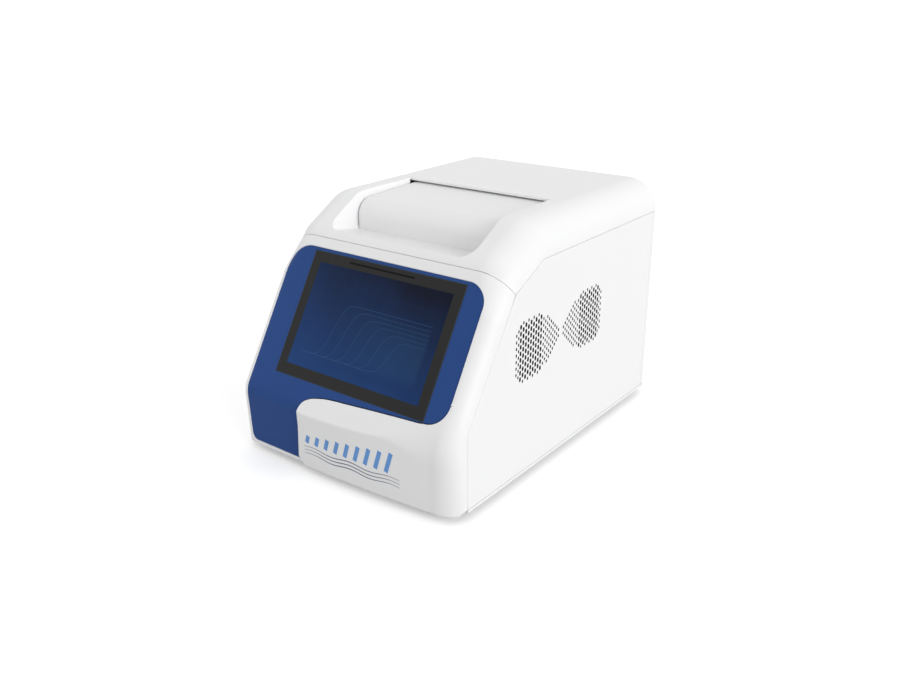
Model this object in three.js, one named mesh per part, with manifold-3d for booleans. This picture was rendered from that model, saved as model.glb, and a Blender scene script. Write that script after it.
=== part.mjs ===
// Bench-top real-time PCR instrument with a sliding lid and a sloping touch screen.
// Millimetres, +Z up, the front faces -Y, +X is the right side seen from the front.
// Origin: middle of the overall box, on the surface that the feet stand on.
// Inside the case group x is across, y is depth from the foot of the front face
// and z is height above the underside of the base.
import * as THREE from 'three';
import { mergeVertices } from 'three/addons/utils/BufferGeometryUtils.js';
import Module from 'manifold-3d';

const wasm = await Module();
wasm.setup();
const radians = THREE.MathUtils.degToRad;

// Case
const caseWidth = 351;
const caseDepth = 480;
const caseHeight = 315;
const footHeight = 10;
const wall = 3;
const seamGap = 0.4;
const fitGap = 0.3;
const overrun = 14;
const screenAngle = radians(58.8);
const frontLean = radians(2.8);
const frontSetback = 3.8;
const kneeLine = 82.2;
const kneeRadius = 35;
const cornerRadiusLeft = 15;
const cornerRadiusRight = 35;
const screenEdgeRadius = 20;
const seamEdgeRadius = 42;
const topEdgeRadius = 43.6;
const shoulderRise = 47.5;
const facetAngle = radians(30);
const seamBendRadius = 44;
const shoulderRadius = 44;

// Slope of the screen face, from the knee to the seam under the top cover
const slopeRun = 1 / Math.tan(screenAngle);
const slopeRise = Math.sin(screenAngle);
const frontSeamHeight = caseHeight - shoulderRise;
const kneeDepth = frontSetback - kneeLine * Math.tan(frontLean);
const frontSeamDepth = kneeDepth + (frontSeamHeight - kneeLine) * slopeRun;
const slopeDepth = (height) => frontSeamDepth - (frontSeamHeight - height) * slopeRun;
const kneeHeight = (foot) => (foot - slopeDepth(0)) / (slopeRun + Math.tan(frontLean));
const kneeReach = kneeLine / slopeRise;
const seamReach = frontSeamHeight / slopeRise;
const lowerScreenHeight = kneeLine + 2 * kneeRadius;
const upperScreenHeight = frontSeamHeight - topEdgeRadius;

// Seam between the front frame, the side panels and the top cover
const sideSeamDepth = 34.9;
const seamKneeRise = 19.8;
const sideSeamKnee = kneeLine + seamKneeRise;
const seamCornerRun = 15.8;
const seamCornerDrop = 24.5;
const coverCornerRun = 57.7;
const sideSeamHeight = caseHeight - topEdgeRadius;
const seamCornerDepth = frontSeamDepth + seamCornerRun;
const seamCornerHeight = frontSeamHeight - seamCornerDrop;
const coverCornerDepth = seamCornerDepth + coverCornerRun;

// Front frame and fascia
const fasciaInset = 1.2;
const fasciaWall = 2.5;
const backingWall = 2.2;
const frameWall = fasciaInset + fasciaWall + fitGap + backingWall;
const rimLeft = 13.5;
const rimRight = 21;
const rimTop = 11.8;
const maskLeft = -caseWidth / 2 + rimLeft;
const maskRight = caseWidth / 2 - rimRight;
const maskBottom = 4;
const maskTop = frontSeamHeight - rimTop;
const maskLeftRadius = 34;
const maskRightRadius = 28.5;
const maskFootRadius = 9;
const maskLowerCornerRise = 52.1;
const maskLowerCornerHeight = kneeLine + maskLowerCornerRise;
const blueFieldWidth = 92;
const blockLeft = maskLeft + blueFieldWidth;
const blockEdgeRadius = 12;
const blockFootRadius = 24;
const blockTopRadius = 22;
const blockShoulderDrop = 8.2;
const blockShoulderHeight = kneeLine - blockShoulderDrop;
const bulgeRun = 10;
const bulgeCentre = blockLeft + bulgeRun;
const bulgeRadius = 2000;
const bandRun = 30;
const bandRise = 13.8;
const bandLeft = blockLeft + bandRun;
const bandLeftHeight = kneeLine + bandRise;
const bandShares = [[0.29, 0.5], [0.6, 0.7], [0.9, 0.9]];

// Touch screen, measured in the plane of the sloping face
const glassMarginLeft = 41.2;
const glassMarginRight = 29.7;
const glassMarginFoot = 32.9;
const glassMarginTop = 18;
const glassLeft = maskLeft + glassMarginLeft;
const glassRight = maskRight - glassMarginRight;
const glassFoot = kneeReach + glassMarginFoot;
const glassTop = seamReach - glassMarginTop;
const glassThickness = 3;
const bezelSide = 14.3;
const bezelFoot = 15.5;
const bezelTop = 14.2;
const displayLeft = glassLeft + bezelSide;
const displayRight = glassRight - bezelSide;
const displayFoot = glassFoot + bezelFoot;
const displayTop = glassTop - bezelTop;
const displayThickness = 4;
const displayMargin = 2;
const bracketMargin = 8;
const bracketSheet = 1.5;

// Top cover, finger recess and deck
const shoulderWidth = 60.5;
const recessHalfWidth = caseWidth / 2 - shoulderWidth;
const recessSetback = 7.4;
const recessFront = frontSeamDepth + recessSetback;
const recessCornerRadius = 18;
const lipDrop = 39.2;
const lipHeight = caseHeight - lipDrop;
const deckDrop = 49;
const deckHeight = caseHeight - deckDrop;
const scoopDepth = 58;
const scoopShares = [[0.25, 0.32], [0.75, 0.86], [1, 1]];

// Sample block and what stands round it
const wellPitch = 9;
const wellColumns = 12;
const wellRows = 8;
const wellRadius = 3.1;
const wellDepth = 14;
const blockMargin = 9;
const blockRowMargin = 6;
const blockSetback = 111.1;
const blockDrop = 6;
const blockThickness = 18.5;
const blockHalfWidth = (wellColumns * wellPitch) / 2 + blockMargin;
const blockHalfDepth = (wellRows * wellPitch) / 2 + blockRowMargin;
const blockCentreDepth = recessFront + blockSetback;
const blockTop = deckHeight - blockDrop;
const collarMargin = 6;
const collarRise = 2;
const collarTop = blockTop + collarRise;
const bayMargin = 4;
const bayRowMargin = 6.5;
const bayHalfWidth = blockHalfWidth + bayMargin;
const bayHalfDepth = blockHalfDepth + bayRowMargin;

// Lid hood and its frame
const hoodSideGap = 2;
const hoodHalfWidth = recessHalfWidth - hoodSideGap;
const hoodReachFront = 55;
const hoodReachRear = 69.5;
const hoodFront = blockCentreDepth - hoodReachFront;
const hoodRear = blockCentreDepth + hoodReachRear;
const coverLap = 9;
const recessRear = hoodRear - coverLap;
const hoodWall = 2.5;
const hoodFootGap = 0.8;
const hoodFoot = deckHeight + hoodFootGap;
const hoodShoulderRise = 17;
const hoodShoulder = deckHeight + hoodShoulderRise;
const hoodRadius = 23.5;
const hoodRise = 3.2;
const lidPlateMargin = 5;
const lidPlateSheet = 3;
const lidPlateHalfWidth = hoodHalfWidth - lidPlateMargin;
const lidPlateFront = hoodFront + hoodRadius + hoodWall;
const lidPlateLap = 7;
const lidPlateRear = hoodRear + lidPlateLap;
const lidPlateHeight = hoodShoulder + hoodRadius - hoodWall - lidPlateMargin;
const armWidth = 12;
const armInner = lidPlateHalfWidth - armWidth;
const armReachFront = 3.5;
const armReachRear = 45;
const armDeckGap = 2;
const armFront = hoodRear - armReachFront;
const armRear = hoodRear + armReachRear;
const armFoot = deckHeight + armDeckGap;

// Chassis, rails and lid drive
const chassisDrop = 27;
const chassisTop = deckHeight - chassisDrop;
const chassisSheet = 2;
const chassisGap = 23.5;
const chassisHalfWidth = caseWidth / 2 - chassisGap;
const chassisSetback = 93;
const chassisRearGap = 10;
const chassisFront = sideSeamDepth + chassisSetback;
const chassisRear = caseDepth - chassisRearGap;
const windowMargin = 3;
const windowHalfWidth = blockHalfWidth + windowMargin;
const windowHalfDepth = blockHalfDepth + windowMargin * 2;
const collarFoot = chassisTop + 3 * fitGap;
const railCentre = armInner + armWidth / 2;
const railWidth = 8;
const railHeight = 8;
const railFront = armFront;
const railEndGap = 4;
const railRear = chassisRear - railEndGap;
const carriageWidth = 16;
const carriageEndGap = 6;
const carriageFront = armFront + carriageEndGap;
const carriageRear = armRear - carriageEndGap / 3;
const carriageRise = 23.2;
const carriageTop = chassisTop + carriageRise;
const screwX = -armInner + armWidth;
const screwRise = 12.5;
const screwHeight = chassisTop + screwRise;
const screwRadius = 4;
const nutLength = 14;
const screwFront = railFront - railEndGap;
const screwRear = railRear + railEndGap / 2;
const nutFront = carriageFront + nutLength;
const nutRear = nutFront + nutLength;
const nutHalfWidth = 7.5;
const nutHalfHeight = 7.8;
const motorRadius = 10.5;
const motorLength = 43;
const bearingThickness = 8;
const bearingFront = screwRear - bearingThickness;
const bearingHalfWidth = 10;

// Heated plate and its lift
const plateRise = 4.5;
const plateThickness = 8;
const plateTravel = 3.5;
const plateMargin = 1;
const plateHalfWidth = blockHalfWidth - plateMargin;
const plateHalfDepth = blockHalfDepth + plateMargin;
const plateFoot = deckHeight + plateRise;
const plateTop = plateFoot + plateThickness;
const plateTabReach = 30;
const plateTabHalfDepth = 8;
const liftReach = 22;
const liftX = plateHalfWidth + liftReach;
const liftScrewRadius = 3;
const liftMotorRadius = 9;
const liftMotorHeight = 14;
const guideTabReach = 20;
const guidePostRadius = 2.5;
const guidePostInset = 6;
const guidePostX = -plateHalfWidth - guideTabReach + guidePostInset;

// Scanning head
const scanRailSize = 6;
const headHalfWidth = 12;
const headGap = 2;
const headHeight = 16;
const headFront = blockCentreDepth - plateHalfDepth + wellPitch;
const headFoot = plateTop + headGap;
const scanHome = -(plateHalfWidth - headHalfWidth);
const scanRailSetback = 10;
const scanRailRise = 8.5;
const scanRailLap = 2;
const beltSetback = 11;
const beltRise = 2.5;
const scanRailDepth = hoodRear - scanRailSetback;
const scanRailHeight = headFoot + scanRailRise;
const scanRailHalfLength = armInner + scanRailLap;
const beltDepth = scanRailDepth + beltSetback;
const beltWidth = 4;
const beltHeight = scanRailHeight + beltRise;
const beltPulleyX = armInner - armWidth;
const beltPulleyRadius = 5;
const beltThickness = 1.4;
const scanMotorRadius = 9;
const scanMotorLength = 18;
const axleRadius = 2;

// Cooling below the block
const peltierThickness = 3.8;
const peltierMargin = 2.5;
const peltierHalfDepth = blockHalfDepth - peltierMargin;
const peltierHalfWidth = blockHalfWidth - peltierMargin;
const sinkSideGap = 40;
const sinkHalfWidth = chassisHalfWidth - sinkSideGap;
const sinkHalfDepth = 72.5;
const sinkDrop = 2.4;
const sinkTop = chassisTop - sinkDrop;
const sinkBase = 9;
const sinkHeight = 100.6;
const sinkFoot = sinkTop - sinkHeight;
const finPitch = 8;
const finThickness = 2.4;

// Side vents: two facing groups of slots, slotted in columns, with a dust filter behind
const ventCentreDepth = blockCentreDepth;
const ventDrop = 148.6;
const ventCentreHeight = caseHeight - ventDrop;
const ventRowStep = 4.18;
const ventBridge = 3.4;
const ventTip = 5.9;
const ventColumnStep = 4.43;
const ventWideStep = 5.54;
const ventSlotWidth = 2;
const ventWideSlotWidth = 3;
const ventInnerColumns = [1, 2, 3, 4, 5, 6, 7, 6, 7];
const ventWideColumns = [8, 9, 8, 9, 8, 9, 8, 9, 8];
const ventOuterColumns = [7, 6];
const ventRowsPerSlot = 5;
const filterHalfDepth = 110;
const filterHalfHeight = 50;
const filterThickness = 3;

// Fans behind the side vents
const fanSize = 80;
const fanDepth = 25;
const fanHeight = ventCentreHeight;
const fanSpread = 53;
const fanDepths = [ventCentreDepth - fanSpread, ventCentreDepth + fanSpread];
const fanBoreRadius = 37.5;
const fanHubRadius = 16;
const fanBladeReach = 35.5;
const fanBladeWidth = 15;
const fanBladeThickness = 1.6;
const fanBlades = 7;
const fanBladePitch = radians(38);
const fanStrutWidth = 5;
const fanStrutThickness = 3;
const fanRotorLength = 16;

// Base, feet, rear panel and electrics
const baseSheet = 4;
const footRadius = 14;
const footTaper = 2;
const footInsetX = 38;
const footInsetDepth = 44;
const rearRim = 7;
const rearRimWall = 3;
const rearSheet = 3;
const rearScrewPlaces = ['lower', 'upper'];
const rearScrewRadius = 1.25;
const rearScrewHeadRadius = 3.2;
const rearScrewHeadHeight = 2;
const rearScrewTip = 3;
const hexSocketRadius = 1.2;
const hexSocketDepth = 1.2;
const rearFlangeWidth = 14;
const grilleSlots = 8;
const grilleFoot = 120;
const grillePitch = 11;
const grilleSlotHeight = 5;
const grilleHalfWidth = 55;
const supplyWidth = 120;
const supplyGap = 12;
const supplyRight = chassisHalfWidth - supplyGap;
const supplyRearGap = 33;
const supplyRear = caseDepth - rearRim - supplyRearGap;
const supplyLength = 130;
const supplyFront = supplyRear - supplyLength;
const supplyHeight = 52;
const boardHalfWidth = 95;
const boardSetback = 25;
const boardSupplyGap = 80;
const boardFront = sideSeamDepth + boardSetback;
const boardRear = supplyFront - boardSupplyGap;
const boardHeight = 12;
const boardSheet = 1.6;
const standoffRadius = 4;
const inletSideGap = 40;
const inletX = chassisHalfWidth - inletSideGap;
const inletHeight = 44;
const inletWidth = 27;
const inletRise = 20;
const inletReach = 24;
const flangeSheet = 2.2;
const flangeMargin = 4.5;
const socketWall = 1.2;
const pinWidth = 4;
const pinSheet = 2;
const pinReach = 14;
const pinSpacing = 7;
const switchWidth = 15;
const switchX = inletX - inletWidth / 2 - switchWidth / 2 - 2 * flangeMargin;
const switchRise = 22;
const rockerHalfAngle = radians(9);
const rockerReach = 4;
const portX = -60;
const portWidth = 16;
const portRise = 13.5;
const portReach = 20;
const usbWidth = 15;
const usbX = portX - portWidth / 2 - usbWidth / 2 - 2 * flangeMargin;
const usbRise = 7.5;
const fuseHeight = inletHeight + inletRise / 2 + 2 * flangeMargin;
const fuseWidth = 22;
const fuseRise = 12;
const fuseReach = 18;
const powerSockets = [[inletX, inletHeight, inletWidth, inletRise],
  [switchX, inletHeight, switchWidth, switchRise],
  [inletX, fuseHeight, fuseWidth, fuseRise]];
const dataSockets = [[portX, inletHeight, portWidth, portRise], [usbX, inletHeight, usbWidth, usbRise]];

// Materials
const white = new THREE.MeshStandardMaterial({ color: 0xeeeeec, roughness: 0.38, metalness: 0 });
const blue = new THREE.MeshStandardMaterial({ color: 0x24437f, roughness: 0.35, metalness: 0 });
const glass = new THREE.MeshStandardMaterial({ color: 0x0d1322, roughness: 0.08, metalness: 0 });
const blackPlastic = new THREE.MeshStandardMaterial({ color: 0x17181a, roughness: 0.5, metalness: 0 });
const rubber = new THREE.MeshStandardMaterial({ color: 0x202020, roughness: 0.85, metalness: 0 });
const sheetMetal = new THREE.MeshStandardMaterial({ color: 0xb4b7ba, roughness: 0.4, metalness: 1 });
const aluminium = new THREE.MeshStandardMaterial({ color: 0xc9cbce, roughness: 0.32, metalness: 1 });
const steel = new THREE.MeshStandardMaterial({ color: 0x9b9ea2, roughness: 0.25, metalness: 1 });
const circuitBoard = new THREE.MeshStandardMaterial({ color: 0x1c5a36, roughness: 0.55, metalness: 0 });
const ceramic = new THREE.MeshStandardMaterial({ color: 0xe6e2d6, roughness: 0.6, metalness: 0 });
const insulation = new THREE.MeshStandardMaterial({ color: 0x3c3f42, roughness: 0.7, metalness: 0 });

// Where the front face stands in the overall box
const foremost = slopeDepth(kneeHeight(0));
const frontY = -(caseDepth - foremost) / 2 - foremost;

const machine = new THREE.Group();
const caseGroup = new THREE.Group();
caseGroup.position.set(0, frontY, footHeight);
machine.add(caseGroup);
const screenGroup = new THREE.Group();
screenGroup.position.set(0, slopeDepth(0), 0);
screenGroup.rotation.x = screenAngle;
screenGroup.updateMatrix();
caseGroup.add(screenGroup);

// Solids and meshes
function toSolid(geometry) {
  const bare = geometry.clone();
  bare.deleteAttribute('normal');
  bare.deleteAttribute('uv');
  const merged = mergeVertices(bare, 1e-4);
  const mesh = new wasm.Mesh({
    numProp: 3,
    vertProperties: new Float32Array(merged.attributes.position.array),
    triVerts: new Uint32Array(merged.index.array),
  });
  mesh.merge();
  return new wasm.Manifold(mesh);
}

function toGeometry(solid) {
  const mesh = solid.getMesh();
  const geometry = new THREE.BufferGeometry();
  geometry.setAttribute('position', new THREE.BufferAttribute(new Float32Array(mesh.vertProperties), 3));
  geometry.setIndex(new THREE.BufferAttribute(new Uint32Array(mesh.triVerts), 1));
  geometry.computeVertexNormals();
  return geometry;
}

// The main body of a cut solid, without the slivers left where two surfaces nearly meet
function mainBody(solid) {
  const bodies = toSolid(toGeometry(solid)).decompose();
  return bodies.reduce((best, body) => (body.volume() > best.volume() ? body : best));
}

function piece(name, material, shape, parent = caseGroup) {
  const geometry = shape.isBufferGeometry ? shape : toGeometry(shape);
  const mesh = new THREE.Mesh(geometry, material);
  mesh.name = name;
  parent.add(mesh);
  return mesh;
}

function boxGeometry(x0, x1, y0, y1, z0, z1) {
  const box = new THREE.BoxGeometry(x1 - x0, y1 - y0, z1 - z0);
  return box.translate((x0 + x1) / 2, (y0 + y1) / 2, (z0 + z1) / 2);
}

const box = (x0, x1, y0, y1, z0, z1) => toSolid(boxGeometry(x0, x1, y0, y1, z0, z1));

// Prisms: an outline in the y-z, x-z or x-y plane, extruded along the third axis
const alongX = new THREE.Matrix4().makeBasis(
  new THREE.Vector3(0, 1, 0), new THREE.Vector3(0, 0, 1), new THREE.Vector3(1, 0, 0));
const alongY = new THREE.Matrix4().makeBasis(
  new THREE.Vector3(1, 0, 0), new THREE.Vector3(0, 0, 1), new THREE.Vector3(0, -1, 0));

function shapeOf(points) {
  return new THREE.Shape(points.map(([u, v]) => new THREE.Vector2(u, v)));
}

function extrudeShape(shape, length, curveSegments) {
  return new THREE.ExtrudeGeometry(shape, { depth: length, bevelEnabled: false, curveSegments });
}

function prismX(outline, x0, x1, curveSegments = 6) {
  const shape = Array.isArray(outline) ? shapeOf(outline) : outline;
  const geometry = extrudeShape(shape, x1 - x0, curveSegments).applyMatrix4(alongX);
  return toSolid(geometry.translate(x0, 0, 0));
}

function prismY(outline, y0, y1, curveSegments = 6) {
  const shape = Array.isArray(outline) ? shapeOf(outline) : outline;
  const geometry = extrudeShape(shape, y1 - y0, curveSegments).applyMatrix4(alongY);
  return toSolid(geometry.translate(0, y1, 0));
}

function prismZ(outline, z0, z1, curveSegments = 6) {
  const shape = Array.isArray(outline) ? shapeOf(outline) : outline;
  const geometry = extrudeShape(shape, z1 - z0, curveSegments);
  return toSolid(geometry.translate(0, 0, z0));
}

// Round bars along each axis
function barGeometry(radius, from, to, sides) {
  const bar = new THREE.CylinderGeometry(radius, radius, to - from, sides);
  return bar.translate(0, (from + to) / 2, 0);
}

const barX = (radius, x0, x1, y, z, sides = 16) =>
  toSolid(barGeometry(radius, x0, x1, sides).rotateZ(-Math.PI / 2).translate(0, y, z));
const barY = (radius, x, y0, y1, z, sides = 16) =>
  toSolid(barGeometry(radius, y0, y1, sides).translate(x, 0, z));
const barZ = (radius, x, y, z0, z1, sides = 16) =>
  toSolid(barGeometry(radius, z0, z1, sides).rotateX(Math.PI / 2).translate(x, y, 0));

// A solid lofted through closed loops that all have the same number of points
function loft(loops) {
  const count = loops[0].length;
  const positions = loops.flat(2);
  const faces = [];
  for (let i = 0; i + 1 < loops.length; i += 1) {
    for (let j = 0; j < count; j += 1) {
      const a = i * count + j;
      const b = i * count + ((j + 1) % count);
      faces.push(a, a + count, b, b, a + count, b + count);
    }
  }
  for (const [loop, start, turn] of [[loops[0], 0, 0], [loops.at(-1), (loops.length - 1) * count, 1]]) {
    const centre = positions.length / 3;
    for (let axis = 0; axis < 3; axis += 1) {
      positions.push(loop.reduce((sum, point) => sum + point[axis], 0) / count);
    }
    for (let j = 0; j < count; j += 1) {
      faces.push(centre, start + ((j + turn) % count), start + ((j + 1 - turn) % count));
    }
  }
  const geometry = new THREE.BufferGeometry();
  geometry.setAttribute('position', new THREE.BufferAttribute(new Float32Array(positions), 3));
  geometry.setIndex(faces);
  return toSolid(geometry);
}

// Side profile of the case, as stations with inward normals and edge radii
function arcStations(y, z, radius, from, to, steps, startEdge, endEdge) {
  const stations = [];
  for (let i = 0; i <= steps; i += 1) {
    const share = i / steps;
    const angle = from + (to - from) * share;
    const [c, s] = [Math.cos(angle), Math.sin(angle)];
    const edge = THREE.MathUtils.lerp(startEdge, endEdge, share);
    stations.push({ y: y + radius * c, z: z + radius * s, ny: -c, nz: -s, edge });
  }
  return stations;
}

const frontAngle = Math.PI + frontLean;
const slopeAngle = Math.PI / 2 + screenAngle;
const slopeNormal = { ny: -Math.cos(slopeAngle), nz: -Math.sin(slopeAngle) };
const frontNormal = { ny: Math.cos(frontLean), nz: Math.sin(frontLean) };

function caseProfile(cornerRadius) {
  const frontFoot = { y: frontSetback + overrun * Math.tan(frontLean), z: -overrun, ...frontNormal,
    edge: cornerRadius };
  const knee = kneeHeight(frontSetback);
  const bisector = (frontAngle + slopeAngle) / 2;
  const toCentre = kneeRadius / Math.cos((frontAngle - slopeAngle) / 2);
  const kneeY = slopeDepth(knee) - toCentre * Math.cos(bisector);
  const kneeZ = knee - toCentre * Math.sin(bisector);
  const kneeEdge = (cornerRadius + screenEdgeRadius) / 2;
  const bendY = frontSeamDepth + seamBendRadius * slopeNormal.ny;
  const bendZ = frontSeamHeight + seamBendRadius * slopeNormal.nz;
  const shoulderZ = caseHeight - shoulderRadius;
  const facetRise = shoulderZ - bendZ + (shoulderRadius - seamBendRadius) * Math.cos(facetAngle);
  const facetRun = facetRise / Math.tan(facetAngle);
  const shoulderY = bendY + facetRun + (shoulderRadius - seamBendRadius) * Math.sin(facetAngle);
  const facetNormalAngle = Math.PI / 2 + facetAngle;
  const back = caseDepth + overrun;
  return [
    frontFoot,
    ...arcStations(kneeY, kneeZ, kneeRadius, frontAngle, slopeAngle, 5, kneeEdge, screenEdgeRadius),
    { y: slopeDepth(lowerScreenHeight), z: lowerScreenHeight, ...slopeNormal, edge: screenEdgeRadius },
    { y: slopeDepth(upperScreenHeight), z: upperScreenHeight, ...slopeNormal, edge: screenEdgeRadius },
    ...arcStations(bendY, bendZ, seamBendRadius, slopeAngle, facetNormalAngle, 4, seamEdgeRadius,
      seamEdgeRadius),
    ...arcStations(shoulderY, shoulderZ, shoulderRadius, facetNormalAngle, Math.PI / 2, 4, topEdgeRadius,
      topEdgeRadius),
    { y: back, z: caseHeight, ny: 0, nz: -1, edge: topEdgeRadius },
    { y: back, z: -overrun, ny: 0, nz: 0, edge: 0 },
  ];
}

// How far a rounded edge of this radius has drawn in at x
function edgeInset(x, radius, halfWidth) {
  const into = Math.abs(x) - (halfWidth - radius);
  return into <= 0 ? 0 : radius - Math.sqrt(Math.max(0, radius * radius - into * into));
}

// Stations across the width, closer together toward the rounded sides
const sideSteps = 8;
function acrossStations(halfWidth, radius) {
  const right = [];
  for (let i = sideSteps; i >= 0; i -= 1) {
    right.push(halfWidth - radius * (1 - Math.cos((i / sideSteps) * (Math.PI / 2))));
  }
  return [...right.map((x) => -x).reverse(), ...right];
}

// The whole case as one solid, drawn in all round by an inset
function caseSolid(inset) {
  const halfWidth = caseWidth / 2 - inset;
  const loops = acrossStations(halfWidth, topEdgeRadius - inset).map((x) => {
    const profile = caseProfile(x < 0 ? cornerRadiusLeft : cornerRadiusRight);
    return profile.map(({ y, z, ny, nz, edge }) => {
      const drawn = inset + (edge > inset ? edgeInset(x, edge - inset, halfWidth) : 0);
      return [x, y + ny * drawn, z + nz * drawn];
    });
  });
  return loft(loops);
}

const shell = caseSolid(0);
const farX = caseWidth;
const farZ = caseHeight + overrun;

// Regions between the seams, seen from the side
const seamLineRun = (seamCornerDepth - frontSeamDepth) / (frontSeamHeight - seamCornerHeight);
const seamLineAt = (height) => seamCornerDepth - (height - seamCornerHeight) * seamLineRun;
const frontRegion = prismX([
  [-overrun - kneeRadius, 0], [sideSeamDepth, 0], [sideSeamDepth, sideSeamKnee],
  [seamCornerDepth, seamCornerHeight], [seamLineAt(farZ), farZ], [-overrun - kneeRadius, farZ],
], -farX, farX);
const coverRegion = prismX([
  [seamLineAt(seamCornerHeight) + seamGap, seamCornerHeight], [coverCornerDepth, sideSeamHeight],
  [caseDepth, sideSeamHeight], [caseDepth, farZ], [seamLineAt(farZ) + seamGap, farZ],
], -farX, farX);
const tubRegion = prismX([
  [seamLineAt(collarTop) + seamGap, collarTop], [caseDepth, collarTop],
  [caseDepth, farZ], [seamLineAt(farZ) + seamGap, farZ],
], -farX, farX);

// Front-view outline of the blue fascia, grown by a margin
function maskOutline(grow) {
  const shape = new THREE.Shape();
  const [left, right] = [maskLeft - grow, maskRight + grow];
  const [bottom, top] = [maskBottom - grow, maskTop + grow];
  const leftRise = (maskLeftRadius + grow) * slopeRise;
  const rightRise = (maskRightRadius + grow) * slopeRise;
  const footRadiusGrown = maskFootRadius + grow;
  shape.moveTo(left + footRadiusGrown, bottom);
  shape.lineTo(right, bottom);
  shape.lineTo(right, top - rightRise);
  shape.absellipse(right - maskRightRadius - grow, top - rightRise, maskRightRadius + grow, rightRise, 0,
    Math.PI / 2, false, 0);
  shape.lineTo(left + maskLeftRadius + grow, top);
  shape.absellipse(left + maskLeftRadius + grow, top - leftRise, maskLeftRadius + grow, leftRise,
    Math.PI / 2, Math.PI, false, 0);
  shape.lineTo(left, bottom + footRadiusGrown);
  shape.absarc(left + footRadiusGrown, bottom + footRadiusGrown, footRadiusGrown, Math.PI, Math.PI * 1.5,
    false);
  return shape;
}

// Front-view outline of the white lower block and the band that runs into it
function blockOutline(grow) {
  const shape = new THREE.Shape();
  const footX = blockLeft + blockFootRadius;
  const topX = blockLeft + blockTopRadius;
  const radius = blockTopRadius + grow;
  const cornerX = maskRight - maskRightRadius;
  const cornerRise = maskRightRadius * slopeRise - grow;
  const bandRightHeight = maskLowerCornerHeight - maskRightRadius * slopeRise;
  const band = bandShares.map(([u, v]) => new THREE.Vector2(
    THREE.MathUtils.lerp(bandLeft, cornerX, u),
    THREE.MathUtils.lerp(bandLeftHeight, bandRightHeight, v) + grow));
  shape.moveTo(footX, -overrun);
  shape.lineTo(footX, -grow);
  shape.absarc(footX, blockFootRadius, blockFootRadius + grow, -Math.PI / 2, Math.PI, true);
  shape.lineTo(blockLeft - grow, blockShoulderHeight);
  shape.absarc(topX, blockShoulderHeight, radius, Math.PI, Math.PI * 0.56, true);
  shape.splineThru([...band, new THREE.Vector2(cornerX, bandRightHeight + grow)]);
  shape.absellipse(cornerX, maskLowerCornerHeight, maskRightRadius - grow, cornerRise, -Math.PI / 2, 0,
    false, 0);
  shape.lineTo(farX, maskLowerCornerHeight);
  shape.lineTo(farX, -overrun);
  return shape;
}

const seenFromFront = (shape, curveSegments) => prismY(shape, -overrun - kneeRadius, caseDepth / 2,
  curveSegments);

// The lower block as a solid: a slightly bowed face, a crease and the foot of the slope
function blockSolid() {
  const halfWidth = caseWidth / 2;
  const left = [];
  const edgeSteps = 5;
  for (let i = 0; i <= edgeSteps; i += 1) {
    left.push(blockLeft + blockEdgeRadius * (1 - Math.cos((i / edgeSteps) * (Math.PI / 2))));
  }
  const bowSteps = 5;
  const middle = [];
  for (let i = 1; i < bowSteps; i += 1) {
    middle.push(THREE.MathUtils.lerp(left.at(-1), halfWidth - topEdgeRadius, i / bowSteps));
  }
  const right = acrossStations(halfWidth, topEdgeRadius).filter((x) => x > 0);
  const join = 1 + frontNormal.ny * slopeNormal.ny + frontNormal.nz * slopeNormal.nz;
  const flatEnd = halfWidth - cornerRadiusRight;
  const bowAt = (x) => Math.max(0, Math.min(x, flatEnd) - bulgeCentre) ** 2 / (2 * bulgeRadius);
  const cornerDepth = sideSeamDepth - bowAt(halfWidth);
  return loft([...left, ...middle, ...right].map((x) => {
    const bow = bowAt(x);
    const crease = kneeHeight(bow);
    const draw = (radius, depth) => x < blockLeft + blockEdgeRadius
      ? edgeInset(blockLeft + blockEdgeRadius - x, blockEdgeRadius, blockEdgeRadius)
      : edgeInset(x, radius, halfWidth) * depth / radius;
    const foot = draw(cornerRadiusRight, cornerDepth);
    const knee = draw((cornerRadiusRight + screenEdgeRadius) / 2,
      (cornerDepth + screenEdgeRadius) / 2) / join;
    const slope = draw(screenEdgeRadius, screenEdgeRadius);
    return [
      [x, bow + overrun * Math.tan(frontLean) + foot * frontNormal.ny, -overrun + foot * frontNormal.nz],
      [x, slopeDepth(crease) + knee * (frontNormal.ny + slopeNormal.ny),
      crease + knee * (frontNormal.nz + slopeNormal.nz)],
      [x, slopeDepth(lowerScreenHeight) + slope * slopeNormal.ny,
      lowerScreenHeight + slope * slopeNormal.nz],
      [x, seamCornerDepth, lowerScreenHeight],
      [x, seamCornerDepth, -overrun],
    ];
  }));
}

// Cutters in the plane of the screen
function screenBox(x0, x1, y0, y1, z0, z1) {
  return toSolid(boxGeometry(x0, x1, y0, y1, z0, z1).applyMatrix4(screenGroup.matrix));
}

const backingFront = -(fasciaInset + fasciaWall + fitGap);
const frameBack = -frameWall;

function glassPocket(back) {
  return screenBox(glassLeft - fitGap, glassRight + fitGap, glassFoot - fitGap, glassTop + fitGap, back,
    overrun);
}

function frontFrame() {
  const hollow = caseSolid(frameWall);
  const pocket = seenFromFront(maskOutline(0), 6).subtract(caseSolid(-backingFront));
  const blockZone = seenFromFront(blockOutline(0), 6);
  const lowerBlock = blockSolid().intersect(blockZone).intersect(frontRegion).subtract(hollow);
  const window = screenBox(displayLeft - displayMargin, displayRight + displayMargin,
    displayFoot - displayMargin, displayTop + displayMargin, frameBack - overrun, overrun);
  const backing = caseSolid(-backingFront).intersect(frontRegion).subtract(hollow);
  return mainBody(shell.intersect(frontRegion).subtract(hollow).subtract(pocket).subtract(blockZone)
    .add(lowerBlock).add(backing).subtract(window).subtract(glassPocket(backingFront)));
}

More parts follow.
